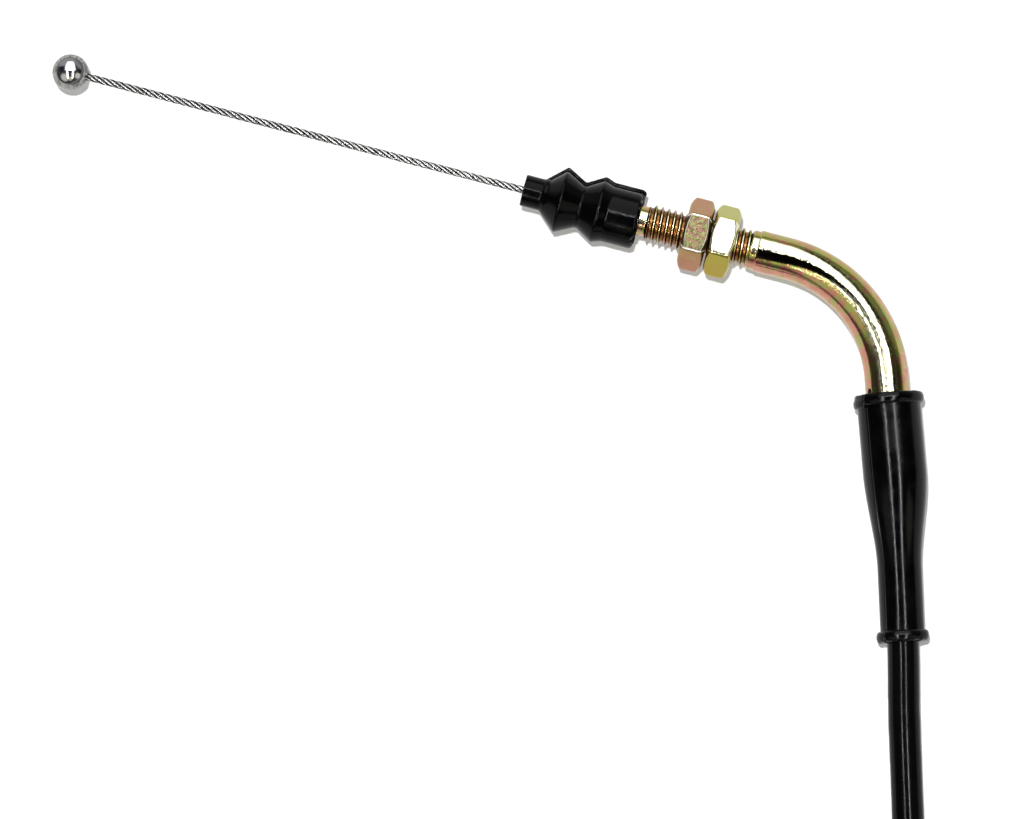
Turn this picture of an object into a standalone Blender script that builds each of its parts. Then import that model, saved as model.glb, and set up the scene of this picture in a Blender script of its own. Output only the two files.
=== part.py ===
# Throttle cable with a ball end, a rubber dust boot, a threaded elbow with two lock
# nuts, a rubber sleeve and a casing that is wound into a tied coil, where it ends in a
# straight threaded adjuster and a barrel nipple.
# All sizes are in metres. Pieces are placed from the ball's centre, with the ball's wire
# along +X and the elbow turning towards -Y, and everything lies on one level surface.
import math

import bmesh
import bpy
import numpy as np
from mathutils import Vector

# Fits
SEAT_GAP = 0.0003
THREAD_FIT = 0.0001

# Inner wire with its ball
WIRE_D = 0.0012
WIRE_STROKE = 0.025
WIRE_PAST_BEND_START = 0.002
BALL_D = 0.0057
BALL_BORE_FLOOR = 0.0013

# Dust boot, with places counted from its tip
BOOT_TIP_X = 0.0725
BOOT_NOSE_R = 0.00247
BOOT_NOSE_LENGTH = 0.0030
BOOT_PEAK_R = 0.00524
BOOT_FIRST_PEAK = 0.0060
BOOT_VALLEY_R = 0.00357
BOOT_VALLEY = 0.0092
BOOT_SECOND_PEAK = 0.0120
BOOT_BODY_R = 0.0047
BOOT_BODY = 0.01355
BOOT_LENGTH = 0.01843
BOOT_WALL = 0.0011
BOOT_SEAT = 0.0055

# Threaded elbow
NECK_R = 0.00235
NECK_SHOWN = 0.0012
THREAD_D = 0.00585
THREAD_LENGTH = 0.0167
THREAD_CHAMFER = 0.0005
SHOULDER_LENGTH = 0.0008
TUBE_D = 0.0065
TUBE_BEFORE_BEND = 0.0051
BEND_R = 0.0204
BEND_DEG = 70.7
LEG_SHOWN = 0.0025
LEG_IN_SLEEVE = 0.0125
SOCKET_DEPTH = 0.0100

# Plastic liner inside the elbow
LINER_WALL = 0.0004

# Lock nuts
NUT_ACROSS_FLATS = 0.0100
NUT_THICKNESS = 0.0039
NUT_CHAMFER_DEG = 30.0
NUT_FACE_R = 0.0046
NUT_BORE_CHAMFER = 0.0004
NUT_PAIR_GAP = 0.0003
NUTS_FROM_THREAD_START = 0.0060
FRONT_NUT_TURN_DEG = -3.3
REAR_NUT_TURN_DEG = 2.0

# Rubber sleeve over the elbow's leg and the casing
SLEEVE_LENGTH = 0.0387
SLEEVE_BEAD_R = 0.0055
SLEEVE_BEAD_WIDTH = 0.0024
SLEEVE_BODY_R = 0.00493
SLEEVE_TAPER_START = 0.0125
SLEEVE_TAPER_END = 0.0275
SLEEVE_TAIL_R = 0.00343
SLEEVE_END_BEAD_R = 0.0041
SLEEVE_END_BEAD_WIDTH = 0.0018

# Casing, and how it turns as it leaves the elbow
CASING_D = 0.0050
CASING_EASE = 0.0050
CASING_SIDE_DEG = 2.2
CASING_DROOP_DEG = 2.9

# Route of the casing from the sleeve to the coil: steps along +X and +Y from the
# sleeve's end, and the height of its middle above the surface
RUN_POINTS = [
    (0.0024, -0.0087, 0.0038),
    (0.0050, -0.0176, 0.0033),
    (0.0078, -0.0269, 0.0028),
    (0.0106, -0.0361, 0.0026),
    (0.0135, -0.0457, 0.0027),
    (0.0164, -0.0553, 0.0031),
    (0.0193, -0.0649, 0.0034),
]

# Coil of the put-away casing, and its ties
COIL_MEAN_R = 0.0300
COIL_TURNS_WIDE = 3
COIL_TURNS_HIGH = 2
COIL_CORNER_R = 0.0020
TIE_COUNT = 3
TIE_FIRST_DEG = -40.0
TIE_WIDTH = 0.0035
TIE_THICKNESS = 0.0006
TIE_HEAD_LENGTH = 0.0050
TIE_HEAD_HEIGHT = 0.0032

# Route from the coil to the far sleeve: steps from the coil's leaving point, and heights
TAIL_POINTS = [
    (-0.0090, 0.0, 0.0083),
    (-0.0180, 0.0, 0.0073),
    (-0.0270, 0.0, 0.0061),
    (-0.0350, 0.0, 0.0055),
]

# Far end: sleeve, straight adjuster with two lock nuts, wire and barrel nipple
FAR_SLEEVE_LENGTH = 0.0260
FAR_TAPER_START = 0.0090
FAR_TAPER_END = 0.0190
FAR_TUBE_SHOWN = 0.0040
FAR_THREAD_LENGTH = 0.0240
FAR_NECK_LENGTH = 0.0020
FAR_BRACKET_GAP = 0.0040
FAR_NUTS_FROM_TUBE = 0.0060
FAR_NUT_TURN_DEG = 3.0
FAR_WIRE_SHOWN = 0.0300
FAR_WIRE_CLEAR_OF_CASING = 0.0040
NIPPLE_D = 0.0050
NIPPLE_LENGTH = 0.0060

# Facets, and points along the casing
CORD_SAMPLE = 0.00025
CORD_POINT_SPACING = 2 * CASING_D
SIDES = 24
FINE_SIDES = 12
NUT_SIDES = 36
BEND_STEPS = 16
BEAD_FULLNESS = 0.7

# Worked out from the sizes above
WIRE_R = WIRE_D / 2
BALL_R = BALL_D / 2
THREAD_R = THREAD_D / 2
TUBE_R = TUBE_D / 2
CASING_R = CASING_D / 2
LINER_BORE_R = WIRE_R + SEAT_GAP
LINER_R = LINER_BORE_R + LINER_WALL
TUBE_BORE_R = LINER_R + SEAT_GAP
SOCKET_R = CASING_R + SEAT_GAP
BOOT_END_X = BOOT_TIP_X + BOOT_LENGTH
NECK_START = BOOT_END_X - BOOT_SEAT
THREAD_START = BOOT_END_X + NECK_SHOWN
THREAD_END = THREAD_START + THREAD_LENGTH
BEND_START = THREAD_END + SHOULDER_LENGTH + TUBE_BEFORE_BEND
BEND_ANGLE = math.radians(BEND_DEG)
BEND_END = BEND_START + BEND_R * BEND_ANGLE
SLEEVE_START = BEND_END + LEG_SHOWN
TUBE_END = SLEEVE_START + LEG_IN_SLEEVE
SLEEVE_END = SLEEVE_START + SLEEVE_LENGTH
SOCKET_FLOOR = TUBE_END - SOCKET_DEPTH
NUT_CORNER_R = NUT_ACROSS_FLATS / 2 / math.cos(math.radians(30))
NUT_BORE_R = THREAD_R + THREAD_FIT
FRONT_NUT_X = THREAD_START + NUTS_FROM_THREAD_START
REAR_NUT_X = FRONT_NUT_X + NUT_THICKNESS + NUT_PAIR_GAP
NUT_TURNS_DEG = (FRONT_NUT_TURN_DEG, REAR_NUT_TURN_DEG, FAR_NUT_TURN_DEG)
MOST_NUT_TURN = math.radians(max(abs(turn) for turn in NUT_TURNS_DEG))
NUT_REACH_DOWN = NUT_CORNER_R * math.cos(math.radians(30) - MOST_NUT_TURN)
AXIS_HEIGHT = max(SLEEVE_BEAD_R, BOOT_PEAK_R, NUT_REACH_DOWN)
COIL_HALF_WIDTH = COIL_TURNS_WIDE * CASING_R
COIL_HEIGHT = COIL_TURNS_HIGH * CASING_D
COIL_OUTER_TURN_R = COIL_MEAN_R + COIL_HALF_WIDTH - CASING_R
COIL_FLOOR = TIE_THICKNESS + SEAT_GAP
COIL_OUTSIDE_R = COIL_MEAN_R + COIL_HALF_WIDTH
CLEAR_OF_COIL = math.sqrt(
    (COIL_OUTSIDE_R + SEAT_GAP) ** 2 - (COIL_OUTER_TURN_R - CASING_R) ** 2 + COIL_OUTER_TURN_R**2
)
FAR_TUBE_START = FAR_SLEEVE_LENGTH - LEG_IN_SLEEVE
FAR_TUBE_END = FAR_SLEEVE_LENGTH + FAR_TUBE_SHOWN
FAR_THREAD_START = FAR_TUBE_END + SHOULDER_LENGTH
FAR_THREAD_END = FAR_THREAD_START + FAR_THREAD_LENGTH
FAR_NECK_END = FAR_THREAD_END + FAR_NECK_LENGTH
FAR_SOCKET_FLOOR = FAR_TUBE_START + SOCKET_DEPTH
FAR_INNER_NUT = FAR_THREAD_START + FAR_NUTS_FROM_TUBE
FAR_OUTER_NUT = FAR_INNER_NUT + NUT_THICKNESS + FAR_BRACKET_GAP
NIPPLE_CENTRE = FAR_NECK_END + FAR_WIRE_SHOWN + NIPPLE_D / 2


def clear_scene():
    for obj in list(bpy.data.objects):
        bpy.data.objects.remove(obj, do_unlink=True)


def material(name, colour, roughness, metallic):
    made = bpy.data.materials.new(name)
    made.use_nodes = True
    shader = made.node_tree.nodes["Principled BSDF"]
    shader.inputs["Base Color"].default_value = (*colour, 1.0)
    shader.inputs["Roughness"].default_value = roughness
    shader.inputs["Metallic"].default_value = metallic
    return made


def add_object(name, data, parent, finish, place=(0, 0, 0)):
    obj = bpy.data.objects.new(name, data)
    bpy.context.scene.collection.objects.link(obj)
    obj.parent = parent
    obj.location = place
    data.materials.append(finish)
    return obj


def mesh_from(name, points, faces, smooth_deg=35):
    mesh = bpy.data.meshes.new(name)
    mesh.from_pydata([tuple(p) for p in points], [], faces)
    work = bmesh.new()
    work.from_mesh(mesh)
    bmesh.ops.recalc_face_normals(work, faces=work.faces)
    work.to_mesh(mesh)
    work.free()
    mesh.shade_smooth()
    mesh.set_sharp_from_angle(angle=math.radians(smooth_deg))
    return mesh


# Lines that pieces are turned about. Each gives the middle and the direction at a
# distance from the ball's centre, or from the far sleeve's start.
def straight_line(distance):
    return Vector((distance, 0, 0)), Vector((1, 0, 0))


def elbow_line(distance):
    turned_by = min(max(distance - BEND_START, 0) / BEND_R, BEND_ANGLE)
    heading = Vector((math.cos(turned_by), -math.sin(turned_by), 0))
    middle = Vector((min(distance, BEND_START), 0, 0))
    middle += BEND_R * Vector((math.sin(turned_by), math.cos(turned_by) - 1, 0))
    return middle + max(distance - BEND_END, 0) * heading, heading


def casing_line(distance):
    """The elbow's line, and then a short bend to the side and down as the casing leaves it."""
    middle, heading = elbow_line(distance)
    past = max(distance - TUBE_END, 0)
    turned_share = min(past / CASING_EASE, 1)
    shift = past * turned_share / 2 if past < CASING_EASE else past - CASING_EASE / 2
    right = Vector((heading.y, -heading.x, 0)) * math.radians(CASING_SIDE_DEG)
    down = Vector((0, 0, -1)) * math.radians(CASING_DROOP_DEG)
    return (
        middle + (right + down) * shift,
        (heading + (right + down) * turned_share).normalized(),
    )


def circle_at(line, distance, radius, sides):
    middle, heading = line(distance)
    across = Vector((0, 0, 1)).cross(heading).normalized()
    up = heading.cross(across)
    angles = [2 * math.pi * i / sides for i in range(sides)]
    return [middle + radius * (math.cos(a) * across + math.sin(a) * up) for a in angles]


def turned_mesh(name, profile, line=straight_line, sides=SIDES):
    """Circles carried along a line. The profile runs out along the outside and back
    along the bore, as pairs of distance and radius. One with radius 0 at both ends is
    closed there by a single point, and any other closes on itself."""
    points, rings = [], []
    for distance, radius in profile:
        if radius == 0:
            rings.append([len(points)] * sides)
            points.append(line(distance)[0])
        else:
            rings.append(list(range(len(points), len(points) + sides)))
            points += circle_at(line, distance, radius, sides)
    if profile[0][1] > 0:
        rings.append(rings[0])
    faces = []
    for ring, following in zip(rings, rings[1:]):
        for i in range(sides):
            j = (i + 1) % sides
            corners = [ring[i], ring[j], following[j], following[i]]
            faces.append(list(dict.fromkeys(corners)))
    return mesh_from(name, points, faces)


def rounded_bead(start, width, radius, base_radius, steps=6):
    """Points over half a round bead, from its first edge to its last."""
    angles = [math.pi * i / steps for i in range(steps + 1)]
    return [
        (
            start + width / 2 * (1 - math.cos(a)),
            base_radius + (radius - base_radius) * math.sin(a) ** BEAD_FULLNESS,
        )
        for a in angles
    ]


def eased(share):
    return share * share * (3 - 2 * share)


def tapered(start, end, first_radius, last_radius, steps=7):
    shares = [i / steps for i in range(steps + 1)]
    return [
        (start + (end - start) * t, first_radius + (last_radius - first_radius) * eased(t))
        for t in shares
    ]


def ball_mesh():
    bore_r = WIRE_R + SEAT_GAP
    mouth = math.asin(bore_r / BALL_R)
    steps = 14
    angles = [math.pi - (math.pi - mouth) * i / steps for i in range(1, steps + 1)]
    outside = [(BALL_R * math.cos(a), BALL_R * math.sin(a)) for a in angles]
    bore_floor = BALL_BORE_FLOOR - BALL_R
    return turned_mesh("ball_end", [(-BALL_R, 0), *outside, (bore_floor, bore_r), (bore_floor, 0)])


def rod_mesh(name, start, end, radius, line=straight_line, sides=FINE_SIDES):
    profile = [(start, 0), (start, radius), (end, radius), (end, 0)]
    return turned_mesh(name, profile, line, sides)


def boot_mesh():
    outside = [
        (0, BOOT_NOSE_R),
        (BOOT_NOSE_LENGTH, BOOT_NOSE_R),
        (BOOT_FIRST_PEAK, BOOT_PEAK_R),
        (BOOT_VALLEY, BOOT_VALLEY_R),
        (BOOT_SECOND_PEAK, BOOT_PEAK_R),
        (BOOT_BODY, BOOT_BODY_R),
        (BOOT_LENGTH, BOOT_BODY_R),
    ]
    seat_start = BOOT_LENGTH - BOOT_SEAT - SEAT_GAP
    wire_hole_r = WIRE_R + SEAT_GAP
    inside = [
        (BOOT_LENGTH, NECK_R + SEAT_GAP),
        (seat_start, NECK_R + SEAT_GAP),
        (BOOT_SECOND_PEAK, BOOT_PEAK_R - BOOT_WALL),
        (BOOT_VALLEY, BOOT_VALLEY_R - BOOT_WALL),
        (BOOT_FIRST_PEAK, BOOT_PEAK_R - BOOT_WALL),
        (BOOT_NOSE_LENGTH, wire_hole_r),
        (0, wire_hole_r),
    ]
    profile = [(BOOT_TIP_X + along, radius) for along, radius in outside + inside]
    return turned_mesh("dust_boot", profile)


def elbow_mesh():
    bend = np.linspace(BEND_START, BEND_END, BEND_STEPS + 1)
    outside = [
        (NECK_START, NECK_R),
        (THREAD_START, NECK_R),
        (THREAD_START + THREAD_CHAMFER, THREAD_R),
        (THREAD_END, THREAD_R),
        (THREAD_END + SHOULDER_LENGTH, TUBE_R),
        *((float(place), TUBE_R) for place in bend),
        (TUBE_END, TUBE_R),
    ]
    inside = [
        (TUBE_END, SOCKET_R),
        (SOCKET_FLOOR, SOCKET_R),
        (SOCKET_FLOOR, TUBE_BORE_R),
        *((float(place), TUBE_BORE_R) for place in bend[::-1]),
        (NECK_START, TUBE_BORE_R),
    ]
    return turned_mesh("threaded_elbow", outside + inside, elbow_line)


def liner_mesh():
    bend = np.linspace(BEND_START, BEND_END, BEND_STEPS + 1)
    stops = [NECK_START, *(float(place) for place in bend), SOCKET_FLOOR]
    outside = [(place, LINER_R) for place in stops]
    inside = [(place, LINER_BORE_R) for place in reversed(stops)]
    return turned_mesh("elbow_liner", outside + inside, elbow_line, FINE_SIDES)


def sleeve_profile(length, taper_start, taper_end):
    """Outside of a sleeve from its wide bead to its narrow one, counted from the wide end."""
    end_bead_start = length - SLEEVE_END_BEAD_WIDTH
    return [
        *rounded_bead(0, SLEEVE_BEAD_WIDTH, SLEEVE_BEAD_R, SLEEVE_BODY_R),
        *tapered(taper_start, taper_end, SLEEVE_BODY_R, SLEEVE_TAIL_R),
        *rounded_bead(end_bead_start, SLEEVE_END_BEAD_WIDTH, SLEEVE_END_BEAD_R, SLEEVE_TAIL_R),
    ]


def sleeve_bore(length):
    shelf = LEG_IN_SLEEVE + SEAT_GAP
    return [
        (length, SOCKET_R),
        (shelf + CASING_EASE, SOCKET_R),
        (shelf, SOCKET_R),
        (shelf, TUBE_R + SEAT_GAP),
        (0, TUBE_R + SEAT_GAP),
    ]


def elbow_sleeve_mesh():
    outside = sleeve_profile(SLEEVE_LENGTH, SLEEVE_TAPER_START, SLEEVE_TAPER_END)
    profile = outside + sleeve_bore(SLEEVE_LENGTH)
    placed = [(SLEEVE_START + along, radius) for along, radius in profile]
    return turned_mesh("elbow_sleeve", placed, casing_line)


def nut_mesh(name, turn_deg):
    """A hexagon whose corners are cut by a cone at each end. Round the nut, each wall
    starts where the cone has reached the hexagon."""
    slope = math.tan(math.radians(NUT_CHAMFER_DEG))
    half = NUT_THICKNESS / 2
    rings = [[] for _ in range(8)]
    for i in range(NUT_SIDES):
        angle = 2 * math.pi * i / NUT_SIDES
        from_flat = (angle + math.radians(30)) % math.radians(60) - math.radians(30)
        wall_r = NUT_ACROSS_FLATS / 2 / math.cos(from_flat)
        cut = (wall_r - NUT_FACE_R) * slope
        turned = angle + math.radians(90 - turn_deg)
        section = [
            (-half, NUT_FACE_R),
            (-half + cut, wall_r),
            (half - cut, wall_r),
            (half, NUT_FACE_R),
            (half, NUT_BORE_R + NUT_BORE_CHAMFER),
            (half - NUT_BORE_CHAMFER, NUT_BORE_R),
            (-half + NUT_BORE_CHAMFER, NUT_BORE_R),
            (-half, NUT_BORE_R + NUT_BORE_CHAMFER),
        ]
        for ring, (along, radius) in zip(rings, section):
            ring.append((along, radius * math.cos(turned), radius * math.sin(turned)))
    points = [point for ring in rings for point in ring]
    faces = []
    for k in range(len(rings)):
        for i in range(NUT_SIDES):
            j = (i + 1) % NUT_SIDES
            first, second = k * NUT_SIDES, (k + 1) % len(rings) * NUT_SIDES
            faces.append([first + i, first + j, second + j, second + i])
    return mesh_from(name, points, faces, 20)


def smooth_points(through, spacing):
    """Points about a spacing apart on a natural cubic curve through the given ones."""
    through = np.array([tuple(p) for p in through], float)
    steps = np.linalg.norm(np.diff(through, axis=0), axis=1)
    along = np.concatenate([[0], np.cumsum(steps)])
    count = len(through)
    matrix = np.eye(count)
    right_side = np.zeros((count, 3))
    slopes = np.diff(through, axis=0) / steps[:, None]
    for i in range(1, count - 1):
        matrix[i, i - 1 : i + 2] = steps[i - 1], 2 * (steps[i - 1] + steps[i]), steps[i]
        right_side[i] = 6 * (slopes[i] - slopes[i - 1])
    bend = np.linalg.solve(matrix, right_side)
    places = np.linspace(0, along[-1], max(3, round(along[-1] / spacing) + 1))
    piece = np.clip(np.searchsorted(along, places, side="right") - 1, 0, count - 2)
    width = steps[piece][:, None]
    after = (places - along[piece])[:, None]
    before = width - after
    return (
        bend[piece] * before**3 / (6 * width)
        + bend[piece + 1] * after**3 / (6 * width)
        + (through[piece] / width - bend[piece] * width / 6) * before
        + (through[piece + 1] / width - bend[piece + 1] * width / 6) * after
    )


def cord_tube(name, through, parent, finish):
    """A tube along the part of a route that lies outside the coil."""
    curve = bpy.data.curves.new(name, "CURVE")
    curve.dimensions = "3D"
    curve.bevel_depth = CASING_R
    curve.bevel_resolution = 2
    curve.use_fill_caps = True
    middle = coil_centre()
    sampled = smooth_points(through, CORD_SAMPLE)
    from_coil = np.hypot(sampled[:, 0] - middle.x, sampled[:, 1] - middle.y)
    outside = sampled[from_coil > CLEAR_OF_COIL]
    count = max(3, round(len(outside) * CORD_SAMPLE / CORD_POINT_SPACING))
    points = outside[np.linspace(0, len(outside) - 1, count).round().astype(int)]
    spline = curve.splines.new("POLY")
    spline.points.add(len(points) - 1)
    for spot, point in zip(spline.points, points):
        spot.co = (*point, 1)
    return add_object(name, curve, parent, finish)


def from_surface(point, step):
    """A point moved by a step in X and Y, at the step's own height above the surface."""
    return Vector((point.x + step[0], point.y + step[1], step[2] - AXIS_HEIGHT))


def run_route():
    """The casing from the bottom of the elbow's socket to where it meets the coil."""
    inside = np.arange(SOCKET_FLOOR + SEAT_GAP, SLEEVE_END, CASING_D)
    sleeve_end = casing_line(SLEEVE_END)[0]
    route = [casing_line(float(place))[0] for place in inside]
    route += [sleeve_end, *(from_surface(sleeve_end, step) for step in RUN_POINTS)]
    return route


def coil_centre():
    """The coil turns clockwise from the end of the run, so its middle lies to the right."""
    before, last = run_route()[-2:]
    heading = (last - before).normalized()
    right = Vector((heading.y, -heading.x, 0)).normalized()
    middle = last + COIL_OUTER_TURN_R * right
    return Vector((middle.x, middle.y, COIL_FLOOR - AXIS_HEIGHT))


def coil_mesh():
    """The coil's outer form: a rounded rectangle turned about the coil's axis."""
    section = rounded_rectangle(COIL_HALF_WIDTH, COIL_HEIGHT / 2, COIL_CORNER_R, 2)
    segments = 48
    points, faces = [], []
    for i in range(segments):
        angle = 2 * math.pi * i / segments
        for out, up in section:
            reach = COIL_MEAN_R + out
            height = COIL_HEIGHT / 2 + up
            points.append((reach * math.cos(angle), reach * math.sin(angle), height))
    count = len(section)
    for i in range(segments):
        first, second = i * count, (i + 1) % segments * count
        for k in range(count):
            m = (k + 1) % count
            faces.append([first + k, second + k, second + m, first + m])
    return mesh_from("casing_coil", points, faces)


def rounded_rectangle(half_width, half_height, corner_r, corner_steps):
    """Outline points in order, anticlockwise, with round corners."""
    outline = []
    for quarter, (sx, sy) in enumerate([(1, 1), (-1, 1), (-1, -1), (1, -1)]):
        for i in range(corner_steps + 1):
            angle = math.pi / 2 * (quarter + i / corner_steps)
            outline.append(
                (
                    sx * (half_width - corner_r) + corner_r * math.cos(angle),
                    sy * (half_height - corner_r) + corner_r * math.sin(angle),
                )
            )
    return outline


def tie_mesh(name):
    """A flat band round the coil's section, with its lock on the coil's outer side."""
    corner_steps = 2
    inner = rounded_rectangle(
        COIL_HALF_WIDTH + SEAT_GAP, COIL_HEIGHT / 2 + SEAT_GAP, COIL_CORNER_R, corner_steps
    )
    outer = rounded_rectangle(
        COIL_HALF_WIDTH + COIL_FLOOR,
        COIL_HEIGHT / 2 + COIL_FLOOR,
        COIL_CORNER_R + TIE_THICKNESS,
        corner_steps,
    )
    side = COIL_HALF_WIDTH + COIL_FLOOR
    half_lock = TIE_HEAD_LENGTH / 2
    lock = [
        (side, -half_lock),
        (side + TIE_HEAD_HEIGHT, -half_lock),
        (side + TIE_HEAD_HEIGHT, half_lock),
        (side, half_lock),
    ]
    lock_foot = [(COIL_HALF_WIDTH + SEAT_GAP, up) for _, up in lock]
    outer += lock
    inner += lock_foot
    count = len(outer)
    points = []
    for along in (-TIE_WIDTH / 2, TIE_WIDTH / 2):
        points += [(out, along, up) for out, up in outer]
        points += [(out, along, up) for out, up in inner]
    faces = []
    for k in range(count):
        m = (k + 1) % count
        near_out, near_in = [k, m], [count + m, count + k]
        far_out = [2 * count + k, 2 * count + m]
        far_in = [3 * count + m, 3 * count + k]
        faces.append([*near_out, *near_in])
        faces.append([*reversed(far_in), *reversed(far_out)])
        faces.append([k, 2 * count + k, 2 * count + m, m])
        faces.append([count + m, 3 * count + m, 3 * count + k, count + k])
    return mesh_from(name, points, faces)


def coil_leaving_point():
    """Where the top turn points along -X, on the coil's -Y side."""
    middle = coil_centre()
    height = COIL_FLOOR + COIL_HEIGHT - CASING_R - AXIS_HEIGHT
    return Vector((middle.x, middle.y - COIL_OUTER_TURN_R, height))


def far_start():
    leaving = coil_leaving_point()
    return from_surface(leaving, TAIL_POINTS[-1])


def far_line(distance):
    start = far_start()
    return Vector((start.x - distance, start.y, 0)), Vector((-1, 0, 0))


def tail_route():
    leaving = coil_leaving_point()
    inside = [far_line(place)[0] for place in (CASING_D, FAR_TUBE_START)]
    seated = far_line(FAR_SOCKET_FLOOR - SEAT_GAP)[0]
    return [*(from_surface(leaving, step) for step in TAIL_POINTS), *inside, seated]


def adjuster_mesh():
    outside = [
        (FAR_TUBE_START, TUBE_R),
        (FAR_TUBE_END, TUBE_R),
        (FAR_THREAD_START, THREAD_R),
        (FAR_THREAD_END - THREAD_CHAMFER, THREAD_R),
        (FAR_THREAD_END, NECK_R),
        (FAR_NECK_END, NECK_R),
    ]
    inside = [
        (FAR_NECK_END, LINER_BORE_R),
        (FAR_SOCKET_FLOOR, LINER_BORE_R),
        (FAR_SOCKET_FLOOR, SOCKET_R),
        (FAR_TUBE_START, SOCKET_R),
    ]
    return turned_mesh("far_adjuster", outside + inside, far_line)


def far_sleeve_mesh():
    outside = sleeve_profile(FAR_SLEEVE_LENGTH, FAR_TAPER_START, FAR_TAPER_END)
    profile = outside + sleeve_bore(FAR_SLEEVE_LENGTH)
    placed = [(FAR_SLEEVE_LENGTH - along, radius) for along, radius in profile]
    return turned_mesh("far_sleeve", placed, far_line)


def add_nipple(parent, finish):
    """A short barrel across the wire, with a hole in its side that takes the wire's end."""
    barrel = turned_mesh(
        "barrel_nipple",
        [
            (-NIPPLE_LENGTH / 2, 0),
            (-NIPPLE_LENGTH / 2, NIPPLE_D / 2),
            (NIPPLE_LENGTH / 2, NIPPLE_D / 2),
            (NIPPLE_LENGTH / 2, 0),
        ],
        lambda along: (Vector((0, along, 0)), Vector((0, 1, 0))),
    )
    nipple = add_object("barrel_nipple", barrel, parent, finish)
    drill = rod_mesh("nipple_drill", 0, NIPPLE_D, WIRE_R + SEAT_GAP)
    cutter = add_object("nipple_drill", drill, nipple, finish)
    cutter.hide_render = True
    cutter.display_type = "WIRE"
    hole = nipple.modifiers.new("wire_hole", "BOOLEAN")
    hole.operation = "DIFFERENCE"
    hole.solver = "EXACT"
    hole.object = cutter
    return nipple


def add_ties(parent, finish):
    middle = coil_centre()
    for k in range(TIE_COUNT):
        angle = math.radians(TIE_FIRST_DEG) + 2 * math.pi * k / TIE_COUNT
        outwards = Vector((math.cos(angle), math.sin(angle), 0))
        place = middle + COIL_MEAN_R * outwards + Vector((0, 0, COIL_HEIGHT / 2))
        name = f"coil_tie_{k + 1}"
        tie = add_object(name, tie_mesh(name), parent, finish, place)
        tie.rotation_euler.z = angle


def rest_on_surface(parent, pieces):
    """Moves the whole cable so that the box round the given pieces stands on the origin."""
    bpy.context.view_layer.update()
    corners = [obj.matrix_world @ Vector(c) for obj in pieces for c in obj.bound_box]
    lowest = [min(c[k] for c in corners) for k in range(3)]
    highest = [max(c[k] for c in corners) for k in range(3)]
    parent.location = (
        -(lowest[0] + highest[0]) / 2,
        -(lowest[1] + highest[1]) / 2,
        -lowest[2],
    )


def build_cable():
    clear_scene()
    cable = bpy.data.objects.new("cable", None)
    bpy.context.scene.collection.objects.link(cable)

    bright_steel = material("bright_steel", (0.62, 0.62, 0.63), 0.15, 1.0)
    strand_steel = material("strand_steel", (0.45, 0.45, 0.44), 0.35, 1.0)
    yellow_zinc = material("yellow_zinc", (0.60, 0.52, 0.27), 0.28, 1.0)
    rose_zinc = material("rose_zinc", (0.62, 0.46, 0.34), 0.30, 1.0)
    black_rubber = material("black_rubber", (0.02, 0.02, 0.02), 0.45, 0.0)
    casing_black = material("casing_black", (0.012, 0.012, 0.013), 0.30, 0.0)
    liner_white = material("liner_white", (0.80, 0.79, 0.75), 0.40, 0.0)
    tie_black = material("tie_black", (0.03, 0.03, 0.03), 0.40, 0.0)

    object_pieces = [
        add_object("ball_end", ball_mesh(), cable, bright_steel),
        add_object(
            "inner_wire",
            rod_mesh(
                "inner_wire",
                BALL_BORE_FLOOR + SEAT_GAP - BALL_R,
                BEND_START + WIRE_PAST_BEND_START - WIRE_STROKE,
                WIRE_R,
            ),
            cable,
            strand_steel,
        ),
        add_object("dust_boot", boot_mesh(), cable, black_rubber),
        add_object("threaded_elbow", elbow_mesh(), cable, yellow_zinc),
        add_object("elbow_liner", liner_mesh(), cable, liner_white),
        add_object("elbow_sleeve", elbow_sleeve_mesh(), cable, black_rubber),
    ]
    lock_nuts = [
        ("front_nut", FRONT_NUT_X, FRONT_NUT_TURN_DEG, rose_zinc),
        ("rear_nut", REAR_NUT_X, REAR_NUT_TURN_DEG, yellow_zinc),
    ]
    for name, start, turn, finish in lock_nuts:
        place = (start + NUT_THICKNESS / 2, 0, 0)
        object_pieces.append(add_object(name, nut_mesh(name, turn), cable, finish, place))

    cord_tube("casing_run", run_route(), cable, casing_black)
    add_object("casing_coil", coil_mesh(), cable, casing_black, coil_centre())
    cord_tube("casing_tail", tail_route(), cable, casing_black)
    add_ties(cable, tie_black)

    add_object("far_sleeve", far_sleeve_mesh(), cable, black_rubber)
    add_object("far_adjuster", adjuster_mesh(), cable, yellow_zinc)
    for name, start in [("far_inner_nut", FAR_INNER_NUT), ("far_outer_nut", FAR_OUTER_NUT)]:
        place = far_line(start + NUT_THICKNESS / 2)[0]
        add_object(name, nut_mesh(name, FAR_NUT_TURN_DEG), cable, rose_zinc, place)

    nipple = add_nipple(cable, bright_steel)
    nipple.location = far_line(NIPPLE_CENTRE)[0]
    wire_start = FAR_SOCKET_FLOOR + FAR_WIRE_CLEAR_OF_CASING
    far_wire = rod_mesh("far_wire", 0, NIPPLE_CENTRE - SEAT_GAP - wire_start, WIRE_R)
    far_wire_place = far_line(NIPPLE_CENTRE - SEAT_GAP)[0]
    add_object("far_wire", far_wire, cable, strand_steel, far_wire_place)

    rest_on_surface(cable, object_pieces)


build_cable()
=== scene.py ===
import math

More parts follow.
